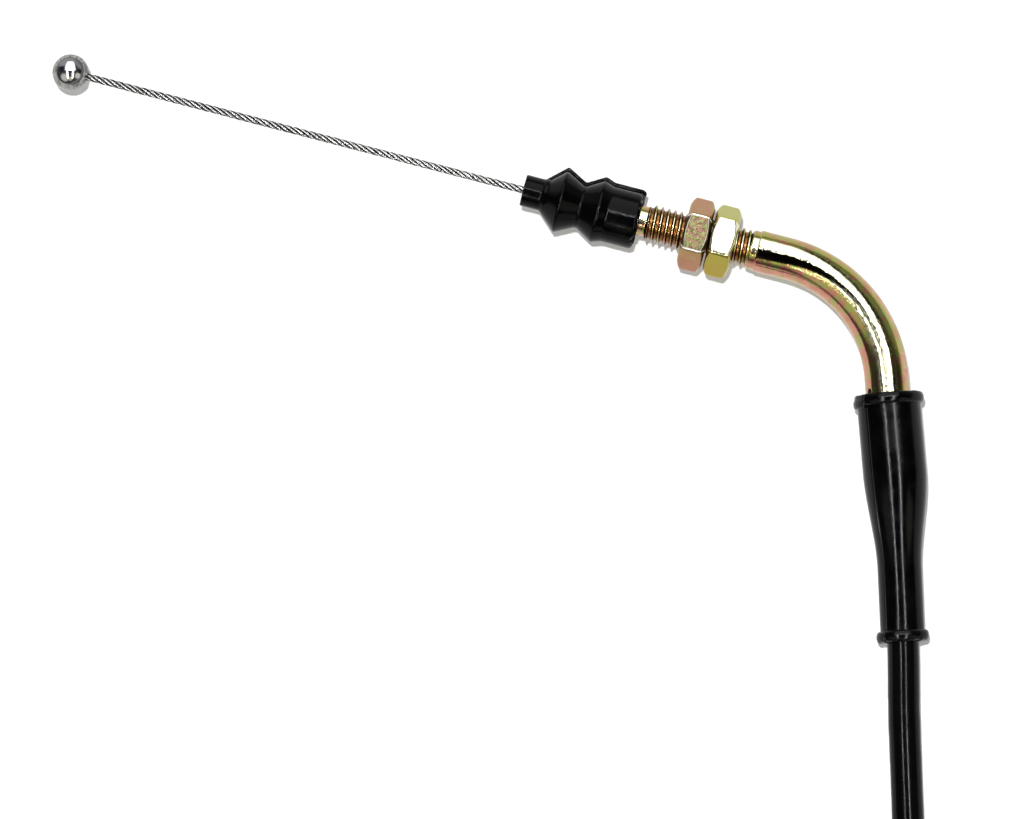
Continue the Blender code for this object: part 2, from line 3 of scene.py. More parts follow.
import bpy
import numpy as np
from mathutils import Matrix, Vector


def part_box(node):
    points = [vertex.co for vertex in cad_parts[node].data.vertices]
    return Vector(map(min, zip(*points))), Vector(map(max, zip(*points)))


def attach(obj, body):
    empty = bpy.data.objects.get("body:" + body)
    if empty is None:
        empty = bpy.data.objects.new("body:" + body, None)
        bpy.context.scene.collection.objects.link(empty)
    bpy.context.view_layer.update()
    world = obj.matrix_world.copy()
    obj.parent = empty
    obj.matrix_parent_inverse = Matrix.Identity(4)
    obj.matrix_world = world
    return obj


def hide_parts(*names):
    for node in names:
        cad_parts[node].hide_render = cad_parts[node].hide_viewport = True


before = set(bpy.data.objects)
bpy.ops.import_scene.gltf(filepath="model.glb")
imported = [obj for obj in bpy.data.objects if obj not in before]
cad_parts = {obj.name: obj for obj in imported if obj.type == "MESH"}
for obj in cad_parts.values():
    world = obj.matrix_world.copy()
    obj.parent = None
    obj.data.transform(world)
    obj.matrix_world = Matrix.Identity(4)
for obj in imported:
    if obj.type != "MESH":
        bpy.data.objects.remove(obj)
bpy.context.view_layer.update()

ballRadius = 0.00285
ballLow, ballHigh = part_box("ball_end")
cableStart = np.array([
    ballLow.x + ballRadius, (ballLow.y + ballHigh.y) / 2, (ballLow.z + ballHigh.z) / 2,
])
axisHeight = cableStart[2]
seatGap = 0.0003
up = np.array([0.0, 0.0, 1.0])


def placed(points):
    return np.asarray(points, float) + cableStart


def unit(vectors):
    return vectors / np.linalg.norm(vectors, axis=-1, keepdims=True)


def pathLength(points):
    # how far along its line each point lies
    return np.concatenate([[0], np.cumsum(np.linalg.norm(np.diff(points, axis=0), axis=1))])


# Meshes from arrays


def gridFaces(rows, columns, closedRows):
    # quads of a grid whose columns close on themselves, turned so that they face outwards
    i = np.arange(rows if closedRows else rows - 1)
    i, j = np.meshgrid(i, np.arange(columns), indexing="ij")
    nextRow, nextColumn = (i + 1) % rows, (j + 1) % columns
    corners = [(i, j), (i, nextColumn), (nextRow, nextColumn), (nextRow, j)]
    faces = np.stack([a * columns + b for a, b in corners], -1).reshape(-1, 4)
    uvCorners = [(i, j), (i, j + 1), (i + 1, j + 1), (i + 1, j)]
    return faces, np.stack([np.stack(c, -1) for c in uvCorners], -2).reshape(-1, 4, 2)


def tubeShape(grid, length, closedRows=True, marks=None):
    # rings of points (rows, columns, 3); without closed rows each end gets a single middle point.
    # The map's first value is the length along the outline, the second the turn round it, 0 to 1
    rows, columns = grid.shape[:2]
    points = grid.reshape(-1, 3)
    quads, places = gridFaces(rows, columns, closedRows)
    length = np.append(length, length[-1] + (length[-1] - length[-2]))
    uvQuads = np.stack([length[places[..., 0]], places[..., 1] / columns], -1)
    marks = np.zeros(len(points)) if marks is None else np.asarray(marks, float).ravel()
    faces, uvs = [quads], [uvQuads]
    if not closedRows:
        j = np.arange(columns)
        following = (j + 1) % columns
        count = len(points)
        last = (rows - 1) * columns
        startFan = np.stack([np.full(columns, count), following, j], -1)
        endFan = np.stack([last + j, last + following, np.full(columns, count + 1)], -1)
        points = np.concatenate([points, [grid[0].mean(0), grid[-1].mean(0)]])
        marks = np.concatenate([marks, [0, 0]])
        turn = np.stack([j, j + 1, j], -1) / columns
        for triangles, place in ((startFan, length[0]), (endFan, length[-2])):
            faces.append(triangles)
            uvs.append(np.stack([np.full(turn.shape, place), turn], -1))
    return points, faces, uvs, marks


def joined(shapes):
    points, faces, uvs, marks, first = [], [], [], [], 0
    for shapePoints, shapeFaces, shapeUvs, shapeMarks in shapes:
        points.append(shapePoints)
        faces += [f + first for f in shapeFaces]
        uvs += shapeUvs
        marks.append(shapeMarks)
        first += len(shapePoints)
    return np.concatenate(points), faces, uvs, np.concatenate(marks)


def makePiece(name, shape, sharpDeg):
    points, faces, uvs, marks = shape
    mesh = bpy.data.meshes.new(name)
    mesh.vertices.add(len(points))
    mesh.vertices.foreach_set("co", placed(points).astype(np.float32).ravel())
    loops = np.concatenate([f.ravel() for f in faces]).astype(np.int32)
    sizes = np.concatenate([np.full(len(f), f.shape[1]) for f in faces])
    mesh.loops.add(len(loops))
    mesh.loops.foreach_set("vertex_index", loops)
    mesh.polygons.add(len(sizes))
    starts = np.concatenate([[0], np.cumsum(sizes)[:-1]]).astype(np.int32)
    mesh.polygons.foreach_set("loop_start", starts)
    mesh.update(calc_edges=True)
    layer = mesh.uv_layers.new(name="surface")
    uvs = np.concatenate([u.reshape(-1, 2) for u in uvs]).astype(np.float32)
    layer.data.foreach_set("uv", uvs.ravel())
    mark = mesh.attributes.new("mark", "FLOAT", "POINT")
    mark.data.foreach_set("value", marks.astype(np.float32))
    mesh.shade_smooth()
    mesh.set_sharp_from_angle(angle=math.radians(sharpDeg))
    piece = bpy.data.objects.new(name, mesh)
    bpy.context.scene.collection.objects.link(piece)
    return piece


def outline(corners, spacing, closed=True):
    # straight runs between corners (along, radius, rounding). A rounding is how far from its
    # corner the curve starts: point = (1-t)^2 first + 2t(1-t) corner + t^2 second
    spots = np.array([c[:2] for c in corners], float)
    cut = np.array([c[2] for c in corners], float)
    if closed:
        before, after = np.roll(spots, 1, 0), np.roll(spots, -1, 0)
    else:
        before, after = np.vstack([spots[:1], spots[:-1]]), np.vstack([spots[1:], spots[-1:]])
    t = np.linspace(0, 1, 7)[:, None]
    runs = []
    for spot, ahead, behind, reach in zip(spots, after, before, cut):
        if reach == 0:
            runs.append(spot[None])
            continue
        back, on = behind - spot, ahead - spot
        first = spot + back * min(reach / np.linalg.norm(back), 0.49)
        second = spot + on * min(reach / np.linalg.norm(on), 0.49)
        runs.append((1 - t) ** 2 * first + 2 * t * (1 - t) * spot + t**2 * second)
    line = np.concatenate(runs)
    if closed:
        line = np.vstack([line, line[:1]])
    place = pathLength(line)
    keep = np.concatenate([[True], np.diff(place) > 1e-8])
    line, place = line[keep], place[keep]
    extra = np.arange(spacing, place[-1], spacing)
    gap = np.abs(extra[:, None] - place[None]).min(1)
    wanted = np.sort(np.concatenate([place, extra[gap > spacing * 0.35]]))
    if closed:
        wanted = wanted[:-1]
    along, radius = np.interp(wanted, place, line[:, 0]), np.interp(wanted, place, line[:, 1])
    return along, radius, wanted


def carried(line, along, radius, turn, aside=0.0):
    # a point at each place: middle(along) + radius (cos turn * side + sin turn * up) + aside * side
    along, radius, turn, aside = np.broadcast_arrays(along, radius, turn, aside)
    middle, heading = line(along)
    side = unit(np.cross(up, heading))
    above = np.cross(heading, side)
    reach = (radius * np.cos(turn) + aside)[..., None]
    return middle + reach * side + (radius * np.sin(turn))[..., None] * above


def turns(count):
    return np.arange(count) * 2 * np.pi / count


def eased(share):
    share = np.clip(share, 0, 1)
    return share * share * (3 - 2 * share)


def uneven(turn, seed, fewest=3, most=31, fade=0.8):
    # a wavy line that closes round a piece: a sum of sines with whole numbers of waves
    draw = np.random.default_rng(seed)
    waves = np.arange(fewest, most)
    height = draw.uniform(0.3, 1, len(waves)) * (fewest / waves) ** fade
    phase = draw.uniform(0, 2 * np.pi, len(waves))
    wave = (height * np.sin(np.asarray(turn)[..., None] * waves + phase)).sum(-1)
    return wave / (1.5 * np.sqrt((height**2).sum()))


def bell(distance, reach):
    # 1 where the distance is nothing, fading to both sides
    return np.exp(-((distance / reach) ** 2))


def straightLine(start, heading):
    heading = np.array(heading, float)

    def line(distance):
        middle = start + np.asarray(distance, float)[..., None] * heading
        return middle, np.broadcast_to(heading, middle.shape)

    return line


# Lines that pieces are carried along: middle and heading at a distance

boot = dict(
    tip=0.0725, length=0.01843, seat=0.0055, noseRadius=0.00247, noseLength=0.0030,
    peakRadius=0.00524, firstPeak=0.0060, secondPeak=0.0120, valleyRadius=0.00357, valley=0.0092,
    bodyRadius=0.0047, body=0.01355, wall=0.0011, mouldStep=0.00066, groove=0.00028,
    ragged=0.0005, noseFade=0.0007, lipFade=0.0005, swell=0.00005, stepFade=0.0006,
    mouthRadius=0.0009,
)
elbow = dict(
    neckRadius=0.00235, neckShown=0.0012, threadRadius=0.002925, threadLength=0.0167,
    threadChamfer=0.0005, pitch=0.001, threadDepth=0.00052, shoulder=0.0008, tubeRadius=0.00325,
    beforeBend=0.0051, bendRadius=0.0204, bendDeg=70.7, legShown=0.0025, legInSleeve=0.0125,
    socketDepth=0.0100, boreRadius=0.0016, socketRadius=0.0028, collarRadius=0.00304,
    ringAfter=0.0003, ringDepth=0.00006, oval=0.06, mouthGap=0.00012,
)
sleeve = dict(
    length=0.0387, beadStart=0.0005, beadRadius=0.0055, beadWidth=0.0018, bodyRadius=0.00493,
    taperStart=0.0125, taperEnd=0.0275, tailRadius=0.00343, endBeadRadius=0.0041,
    endBeadWidth=0.0018, fullness=0.75, mouldStep=0.00046, endStep=0.0002, stepFade=0.004,
    seamDeg=139.0, seamDepth=0.00009, ragged=0.0001, lipFade=0.0009, swell=0.00008,
    swellFade=0.003, nubTurnDeg=148.0, nubWidth=0.00075, nubLength=0.0013,
)
casing = dict(
    radius=0.0025, ease=0.0050, sideDeg=2.2, droopDeg=2.9, spacing=0.0012, sides=36,
    turnRadii=[0.035, 0.030, 0.025, 0.025, 0.030, 0.035], coilFloor=0.0009,
    skin=0.00002, ripple=0.000006,
    lowCross=(0.88, 1.0), rise=(0.72, 0.88), highCross=(0.60, 0.72), pointsPerTurn=18,
)
far = dict(
    sleeveLength=0.0260, taperStart=0.0090, taperEnd=0.0190, tubeShown=0.0040, threadLength=0.0240,
    neckLength=0.0020, wireShown=0.0300, nippleDiameter=0.0050, nippleLength=0.0060,
    wireClearOfCasing=0.0040, wireBore=0.0009, nippleMark=0.0007, nippleRounding=0.0003,
)
bootEnd = boot["tip"] + boot["length"]
neckStart = bootEnd - boot["seat"]
threadStart = bootEnd + elbow["neckShown"]
threadEnd = threadStart + elbow["threadLength"]
tubeStart = threadEnd + elbow["shoulder"]
bendStart = tubeStart + elbow["beforeBend"]
bendAngle = math.radians(elbow["bendDeg"])
bendEnd = bendStart + elbow["bendRadius"] * bendAngle
sleeveStart = bendEnd + elbow["legShown"]
tubeEnd = sleeveStart + elbow["legInSleeve"]
sleeveEnd = sleeveStart + sleeve["length"]
socketFloor = tubeEnd - elbow["socketDepth"]


wireLine = straightLine(np.zeros(3), (1, 0, 0))


def elbowLine(distance):
    # straight along +X, round an arc towards -Y, and straight on
    distance = np.asarray(distance, float)
    turned = np.clip((distance - bendStart) / elbow["bendRadius"], 0, bendAngle)
    heading = np.stack([np.cos(turned), -np.sin(turned), 0 * turned], -1)
    alongX = np.minimum(distance, bendStart) + elbow["bendRadius"] * np.sin(turned)
    middle = np.stack([alongX, elbow["bendRadius"] * (np.cos(turned) - 1), 0 * turned], -1)
    return middle + np.maximum(distance - bendEnd, 0)[..., None] * heading, heading


def casingLine(distance):
    # the elbow's line, then a short bend to the side and down as the casing leaves the tube
    distance = np.asarray(distance, float)
    middle, heading = elbowLine(distance)
    past = np.maximum(distance - tubeEnd, 0)
    share = np.minimum(past / casing["ease"], 1)
    shift = np.where(past < casing["ease"], past * share / 2, past - casing["ease"] / 2)
    right = np.stack([heading[..., 1], -heading[..., 0], 0 * past], -1)
    lean = right * math.radians(casing["sideDeg"]) - up * math.radians(casing["droopDeg"])
    return middle + lean * shift[..., None], unit(heading + lean * share[..., None])


# Route of the casing, with the part's own points: steps from the sleeve's end and the height
# above the surface, then the turns of the coil, then steps from where it leaves the coil

runPoints = [
    (0.0024, -0.0087, 0.0038),
    (0.0050, -0.0176, 0.0033),
    (0.0078, -0.0269, 0.0028),
    (0.0106, -0.0361, 0.0026),
    (0.0135, -0.0457, 0.0027),
    (0.0164, -0.0553, 0.0031),
    (0.0193, -0.0649, 0.0034),
]
tailPoints = [
    (-0.0090, 0.0, 0.0083),
    (-0.0180, 0.0, 0.0073),
    (-0.0270, 0.0, 0.0061),
    (-0.0350, 0.0, 0.0055),
]


def stepped(point, steps):
    steps = np.array(steps)
    return np.column_stack([point[:2] + steps[:, :2], steps[:, 2] - axisHeight])


def smoothLine(through, spacing):
    # natural cubic through the points, sampled about a spacing apart
    place = pathLength(through)
    steps = np.linalg.norm(np.diff(through, axis=0), axis=1)
    count = len(through)
    middleRows = np.arange(1, count - 1)
    matrix = np.eye(count)
    matrix[middleRows, middleRows - 1] = steps[:-1]
    matrix[middleRows, middleRows] = 2 * (steps[:-1] + steps[1:])
    matrix[middleRows, middleRows + 1] = steps[1:]
    slopes = np.diff(through, axis=0) / steps[:, None]
    rightSide = np.zeros((count, 3))
    rightSide[1:-1] = 6 * np.diff(slopes, axis=0)
    bend = np.linalg.solve(matrix, rightSide)
    wanted = np.linspace(0, place[-1], round(place[-1] / spacing) + 1)
    k = np.clip(np.searchsorted(place, wanted, side="right") - 1, 0, count - 2)
    width = steps[k][:, None]
    after = (wanted - place[k])[:, None]
    before = width - after
    curve = bend[k] * before**3 / (6 * width) + bend[k + 1] * after**3 / (6 * width)
    curve += (through[k] / width - bend[k] * width / 6) * before
    return curve + (through[k + 1] / width - bend[k + 1] * width / 6) * after


sleeveEndPoint = casingLine(np.array(sleeveEnd))[0]
runRoute = np.vstack([
    casingLine(np.arange(socketFloor + seatGap, sleeveEnd, 2 * casing["radius"]))[0],
    sleeveEndPoint,
    stepped(sleeveEndPoint, runPoints),
])
runHeading = unit((runRoute[-1] - runRoute[-2]) * [1, 1, 0])
coilMiddle = runRoute[-1] + casing["turnRadii"][0] * np.array([runHeading[1], -runHeading[0], 0])
coilMiddle[2] = casing["coilFloor"] - axisHeight


def coilRoute():
    # clockwise round the coil's middle: three turns inwards on the surface, then outwards on
    # top of them. They step across in stretches where their neighbours on that layer do too
    startAngle = math.atan2(runHeading[0], -runHeading[1])
    radii = casing["turnRadii"]
    turnCount = len(radii) - 1 + (startAngle + math.pi / 2) / (2 * math.pi)
    turned = np.arange(1 / casing["pointsPerTurn"], turnCount, 1 / casing["pointsPerTurn"])
    turned[-1] = turnCount
    radius = np.full_like(turned, radii[0])
    for k, (before, after) in enumerate(zip(radii, radii[1:])):
        first, last = casing["lowCross"] if after < before else casing["highCross"]
        radius = radius + (after - before) * eased((turned - k - first) / (last - first))
    lastLowTurn = len(radii) // 2 - 1
    first, last = casing["rise"]
    height = casing["radius"] * (1 + 2 * eased((turned - lastLowTurn - first) / (last - first)))
    angle = startAngle - 2 * math.pi * turned
    return coilMiddle + np.column_stack([radius * np.cos(angle), radius * np.sin(angle), height])


coilTop = 3 * casing["radius"]
leavingPoint = coilMiddle + np.array([0, -casing["turnRadii"][-1], coilTop])
tail = stepped(leavingPoint, tailPoints)
farStart = np.array([tail[-1][0], tail[-1][1], 0.0])
farTubeStart = far["sleeveLength"] - elbow["legInSleeve"]
farTubeEnd = far["sleeveLength"] + far["tubeShown"]
farThreadStart = farTubeEnd + elbow["shoulder"]
farThreadEnd = farThreadStart + far["threadLength"]
farNeckEnd = farThreadEnd + far["neckLength"]
farSocketFloor = farTubeStart + elbow["socketDepth"]
nippleMiddle = farNeckEnd + far["wireShown"] + far["nippleDiameter"] / 2
farLine = straightLine(farStart, (-1, 0, 0))
farSeat = farLine(np.array([2 * casing["radius"], farTubeStart, farSocketFloor - seatGap]))[0]
casingMiddle = smoothLine(np.vstack([runRoute, coilRoute(), tail, farSeat]), casing["spacing"])
casingPlaces = pathLength(casingMiddle)


# Camera at the photograph's angle: nearly straight above, leaning a little towards the reader

view = dict(
    yawDeg=14.65, leanDeg=5.5, distance=1.2, lens=273.4, sensor=36.0,
    aim=(0.00562, -0.00940, 0.0055),
)
yaw, lean = math.radians(view["yawDeg"]), math.radians(view["leanDeg"])
imageRight = np.array([math.cos(yaw), math.sin(yaw), 0])
imageUp = np.array([-math.sin(yaw), math.cos(yaw), 0])


def facing(place, back, right):
    # matrix of something at a place that looks away from back, with its own right
    matrix = np.eye(4)
    matrix[:3] = np.column_stack([right, np.cross(back, right), back, place])
    return [list(row) for row in matrix]


def addCamera():
    data = bpy.data.cameras.new("camera")
    data.lens, data.sensor_width = view["lens"], view["sensor"]
    data.clip_start, data.clip_end = 0.01, 20
    camera = bpy.data.objects.new("camera", data)
    bpy.context.scene.collection.objects.link(camera)
    back = math.cos(lean) * up - math.sin(lean) * imageUp
    place = np.array(view["aim"]) + view["distance"] * back
    camera.matrix_world = Matrix(facing(place, back, imageRight))
    bpy.context.scene.camera = camera


addCamera()

# Shaders: a socket that can be reckoned with, and one method that adds any other node


class Field:
    def __init__(self, paint, socket):
        self.paint, self.socket = paint, socket

    def __add__(self, other):
        return self.paint.math("ADD", self, other)

    def __radd__(self, other):
        return self.paint.math("ADD", other, self)

    def __sub__(self, other):
        return self.paint.math("SUBTRACT", self, other)

    def __rsub__(self, other):
        return self.paint.math("SUBTRACT", other, self)

    def __mul__(self, other):
        return self.paint.math("MULTIPLY", self, other)

    def __rmul__(self, other):
        return self.paint.math("MULTIPLY", other, self)


class Paint:
    def __init__(self, tree):
        self.tree = tree
        tree.nodes.clear()

    def add(self, kind, settings=None, sockets=None, output=0):
        # settings come first, a ramp's stops among them, then the sockets' values or links
        node = self.tree.nodes.new(kind)
        for name, value in (settings or {}).items():
            if name == "stops":
                for spot, colour in value[2:]:
                    node.color_ramp.elements.new(spot)
                for element, (spot, colour) in zip(node.color_ramp.elements, sorted(value)):
                    element.position, element.color = spot, colour
            else:
                setattr(node, name, value)
        for name, value in (sockets or {}).items():
            if isinstance(value, Field):
                self.tree.links.new(value.socket, node.inputs[name])
            else:
                node.inputs[name].default_value = value
        return Field(self, node.outputs[output]) if len(node.outputs) else node

    def math(self, operation, *values):
        return self.add("ShaderNodeMath", {"operation": operation}, dict(enumerate(values)))

    def along(self, vector, direction):
        sockets = {0: vector, 1: direction}
        return self.add("ShaderNodeVectorMath", {"operation": "DOT_PRODUCT"}, sockets, 1)

    def step(self, value, low, high, first=0.0, last=1.0):
        sockets = {"Value": value, "From Min": low, "From Max": high}
        sockets.update({"To Min": first, "To Max": last})
        return self.add("ShaderNodeMapRange", {"interpolation_type": "SMOOTHSTEP"}, sockets)

    def mixed(self, factor, first, second):
        sockets = {0: factor, 6: first, 7: second}
        return self.add("ShaderNodeMix", {"data_type": "RGBA"}, sockets, 2)

    def place(self):
        return self.add("ShaderNodeTexCoord", output=3)

    def surface(self):
        # length along the outline in metres, and the turn round it from 0 to 1
        uv = self.add("ShaderNodeUVMap", {"uv_map": "surface"})
        return [self.add("ShaderNodeSeparateXYZ", None, {0: uv}, axis) for axis in (0, 1)]

    def mark(self):
        return self.add("ShaderNodeAttribute", {"attribute_name": "mark"}, output=2)

    def noise(self, vector, scale, detail=3.0, roughness=0.55, distortion=0.0):
        sockets = {"Vector": vector, "Scale": scale, "Detail": detail}
        sockets.update({"Roughness": roughness, "Distortion": distortion})
        return self.add("ShaderNodeTexNoise", None, sockets)

    def streaks(self, x, y, detail=3.0, roughness=0.55, distortion=0.0):
        # noise drawn out along one of two values
        both = self.add("ShaderNodeCombineXYZ", None, {0: x, 1: y})
        return self.noise(both, 1.0, detail, roughness, distortion)

    def ramp(self, value, stops):
        return self.add("ShaderNodeValToRGB", {"stops": stops}, {0: value})

    def bump(self, height, distance):
        return self.add("ShaderNodeBump", None, {"Height": height, "Distance": distance})

    def surfaceOut(self, colour, rough, normal=None, metallic=0.0, mirrored=0.5):
        sockets = {"Base Color": colour, "Roughness": rough, "Metallic": metallic}
        sockets["Specular IOR Level"] = mirrored
        if normal:
            sockets["Normal"] = normal
        shader = self.add("ShaderNodeBsdfPrincipled", None, sockets)
        self.add("ShaderNodeOutputMaterial", None, {0: shader})


def sRGB(red, green, blue):
    # a colour as seen on a screen, 0 to 255, made linear
    share = np.array([red, green, blue]) / 255
    return (*np.where(share < 0.04045, share / 12.92, ((share + 0.055) / 1.055) ** 2.4), 1.0)


def material(name):
    made = bpy.data.materials.new(name)
    made.use_nodes = True
    return made, Paint(made.node_tree)


# Light: soft boxes above, a small lamp for the shadow, and dim patches of a room round them

light = dict(
    height=2.0, coreHeight=1.98, keyIrradiance=4.3, keyDistance=2.0, keySize=0.10,
    keyLean=(-0.055, 0.032),
    # slopes off the zenith of the left, right, low and top edges in the image, and the radiance
    boxes={
        "softbox_top": (-0.70, 0.65, 0.165, 2.40, 1.9),
        "softbox_right": (0.158, 0.424, -1.00, 0.165, 1.7),
        "softbox_left": (-0.51, -0.268, -1.00, 0.165, 1.7),
    },
    cores={
        "core_top": (-0.52, 0.48, 0.180, 0.212, 40.0),
        "core_right": (0.272, 0.306, -0.90, 0.150, 50.0),
        "core_left": (-0.352, -0.318, -0.90, 0.150, 50.0),
    },
)
room = dict(
    base=(0.075, 0.075, 0.078), horizon=(0.85, 0.85, 0.83), horizonTilt=0.30, horizonTurn=140,
    # turn clockwise from the image's top, tilt off the zenith, inner and outer half-width, colour
    patches=[
        (-8, 90, 42, 62, (0.46, 0.46, 0.46)),
        (48, 80, 14, 34, (0.34, 0.34, 0.33)),
        (118, 56, 11, 22, (0.92, 0.93, 0.76)),
        (225, 54, 14, 30, (0.84, 0.82, 0.72)),
        (180, 46, 8, 17, (0.85, 0.78, 0.52)),
        (288, 58, 10, 20, (0.03, 0.025, 0.035)),
        (87, 60, 8, 15, (0.03, 0.025, 0.035)),
    ],
)
floor = dict(reach=4.0, colour=(0.62, 0.62, 0.62), glow=0.25)


def skyDirection(turnDeg, tiltDeg):
    turn, tilt = math.radians(turnDeg), math.radians(tiltDeg)
    flat = math.sin(turn) * imageRight + math.cos(turn) * imageUp
    return math.sin(tilt) * flat + math.cos(tilt) * up


def addLamp(name, shape, size, place, back, right, power, mirrored):
    # a mirrored lamp shows in reflections only, the other one only gives the shadow
    data = bpy.data.lights.new(name, "AREA")
    data.shape, data.size, data.energy = shape, size[0], power
    if shape == "RECTANGLE":
        data.size_y = size[1]
    lamp = bpy.data.objects.new(name, data)
    bpy.context.scene.collection.objects.link(lamp)
    lamp.visible_camera, lamp.visible_glossy, lamp.visible_diffuse = False, mirrored, not mirrored
    lamp.matrix_world = Matrix(facing(place, back, right))


def addLights():
    # power is radiance times pi times area
    for high, boxes in [(light["height"], light["boxes"]), (light["coreHeight"], light["cores"])]:
        for name, (left, right, low, top, radiance) in boxes.items():
            width, depth = high * (right - left), high * (top - low)
            middle = high * ((left + right) / 2 * imageRight + (low + top) / 2 * imageUp + up)
            power = radiance * math.pi * width * depth
            addLamp(name, "RECTANGLE", (width, depth), middle, up, imageRight, power, True)
    across, upwards = light["keyLean"]
    towards = unit(across * imageRight + upwards * imageUp + up)
    right = unit(np.cross(imageUp, towards))
    power = light["keyIrradiance"] * math.pi * light["keyDistance"] ** 2
    place = light["keyDistance"] * towards
    addLamp("key_lamp", "DISK", (light["keySize"],), place, towards, right, power, False)


def addRoom():
    world = bpy.data.worlds.new("room")
    bpy.context.scene.world = world
    world.use_nodes = True
    paint = Paint(world.node_tree)
    direction = paint.add("ShaderNodeTexCoord")
    colour = (*room["base"], 1)
    for turn, tilt, inner, outer, shade in room["patches"]:
        near = paint.along(direction, tuple(skyDirection(turn, tilt)))
        mask = paint.step(near, math.cos(math.radians(outer)), math.cos(math.radians(inner)))
        colour = paint.mixed(mask, colour, (*shade, 1))
    # the pale surroundings reach higher on the side towards the reader's right hand
    leaning = up - room["horizonTilt"] * skyDirection(room["horizonTurn"], 90)
    low = paint.step(paint.along(direction, tuple(leaning)), 0.04, -0.04)
    colour = paint.mixed(low, colour, (*room["horizon"], 1))
    seen = paint.add("ShaderNodeLightPath")
    colour = paint.mixed(seen, colour, (1, 1, 1, 1))
    background = paint.add("ShaderNodeBackground", None, {"Color": colour})
    paint.add("ShaderNodeOutputWorld", None, {0: background})


def addFloor():
    # white to the eye and in reflections, and plain pale for all other light
    reach = floor["reach"]
    corners = [(-reach, -reach, 0), (reach, -reach, 0), (reach, reach, 0), (-reach, reach, 0)]
    mesh = bpy.data.meshes.new("floor")
    mesh.from_pydata(corners, [], [(0, 1, 2, 3)])
    piece = bpy.data.objects.new("floor", mesh)
    bpy.context.scene.collection.objects.link(piece)
    made, paint = material("floor")
    camera, glossy, through = [paint.add("ShaderNodeLightPath", output=k) for k in (0, 4, 10)]
    seen = paint.math("MINIMUM", camera + glossy + through, 1.0)
    sockets = {"Color": (1, 1, 1, 1), "Strength": floor["glow"]}
    glow = paint.add("ShaderNodeEmission", None, sockets)
    plain = paint.add("ShaderNodeBsdfDiffuse", None, {"Color": (*floor["colour"], 1)})
    both = paint.add("ShaderNodeAddShader", None, {0: plain, 1: glow})
    shown = paint.add("ShaderNodeMixShader", None, {0: seen, 1: plain, 2: both})
    paint.add("ShaderNodeOutputMaterial", None, {0: shown})
    made.cycles.emission_sampling = "NONE"
    mesh.materials.append(made)


bpy.context.scene.view_settings.view_transform = "Standard"
addLights()
addRoom()
addFloor()
print("camera, lights and floor")


def addPiece(name, shape, sharpDeg, finish, body, slot, *nodes):
    piece = makePiece(name, shape, sharpDeg)
    piece.data.materials.append(finish)
    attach(piece, body)
    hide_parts(*nodes)
    return piece


# Ball

ball = dict(
    boreRadius=0.0009, boreFloor=-0.00155, mouthRounding=0.00012, spacing=0.00012, columns=112,
    # heights above the middle where the sides turn to a painted dimmer reflection of the floor,
    # where a painted dark line runs at the reflected horizon and where the rim gets painted grey
    # shade, and the lengths that the darker streaks towards the wire's mouth start between
    shadedSides=(0.00215, 0.00185), lineFrom=(0.00180, 0.00195), lineTo=(0.00222, 0.00207),
    rim=(0.00060, -0.00010), mouthStreaksFrom=(0.0058, 0.0083),
)


def ballSteel():
    made, paint = material("ball_steel")
    length, turn = paint.surface()
    rings = paint.streaks(length * 9000, turn * 2, 4, 0.6)
    spots = paint.noise(paint.place(), 1500, 4, 0.6)
    scratches = paint.streaks(length * 1500, turn * 9, 4, 0.7, 1.2)
    # darker, rougher streaks on the part towards the wire's mouth
    mouthStreaks = paint.step(paint.streaks(length * 200, turn * 26), 0.42, 0.62)
    mouthStreaks = paint.step(length, *ball["mouthStreaksFrom"]) * mouthStreaks
    # the sides are painted darker and the top lighter: a painted dimmer reflection of the floor
    # round the sides
    height = paint.along(paint.place(), (0, 0, 1)) - axisHeight + (spots - 0.5) * 0.0002
    side = paint.step(height, *ball["shadedSides"])
    shade = paint.step(spots, 0.45, 0.8, 0.0, 0.25)
    bright = paint.mixed(shade, sRGB(190, 190, 194), sRGB(150, 150, 154))
    shade = paint.step(scratches, 0.40, 0.62)
    shadedSides = paint.mixed(shade, sRGB(166, 166, 164), sRGB(112, 112, 110))
    colour = paint.mixed(side, bright, shadedSides)
    colour = paint.mixed(mouthStreaks * 0.8, colour, sRGB(52, 52, 54))
    # a painted dark line where the reflected horizon lies, and painted grey shade on the rim
    edgeLine = paint.step(height, *ball["lineFrom"]) * paint.step(height, *ball["lineTo"])
    colour = paint.mixed(edgeLine * 0.7, colour, sRGB(50, 50, 48))
    colour = paint.mixed(paint.step(height, *ball["rim"]) * 0.5, colour, sRGB(96, 96, 95))
    rough = 0.07 + paint.step(spots, 0.4, 0.8, 0.0, 0.07) + mouthStreaks * 0.15 + side * 0.09
    normal = paint.bump(rings * 0.7 + spots * 0.3, 0.0000035)
    paint.surfaceOut(colour, rough, normal, metallic=1.0)
    return made


def makeBall():
    # radius = square root of (ball radius squared - along squared), then into the wire's hole
    mouth = math.asin(ball["boreRadius"] / ballRadius)
    angle = np.arange(math.pi - 0.03, mouth + 0.04, -ball["spacing"] / ballRadius)
    along = ballRadius * np.cos(angle)
    radius = ballRadius * np.sin(angle)
    edge = ballRadius * math.cos(mouth)
    inside = np.linspace(edge - ball["mouthRounding"], ball["boreFloor"], 14)
    along = np.concatenate([along, inside])
    radius = np.concatenate([radius, np.full(len(inside), ball["boreRadius"])])
    length = pathLength(np.column_stack([along, radius]))
    grid = carried(wireLine, along[:, None], radius[:, None], turns(ball["columns"]))
    shape = tubeShape(grid, length, False)
    addPiece("steel_ball", shape, 40, ballSteel(), "ball_wire", "ball_steel", "ball_end")


# Wire rope: six strands of six wires laid round their own middle wires, and a middle strand

rope = dict(
    strandRadius=0.00040, wireOffset=0.000133, wireRadius=0.0000675, lay=0.0077, wireLay=0.9,
    start=-0.00125, end=0.09173, spacing=0.0003, sides=6, coreRadius=0.00020,
    farSpacing=0.0004, shadeDepth=0.00030,
)


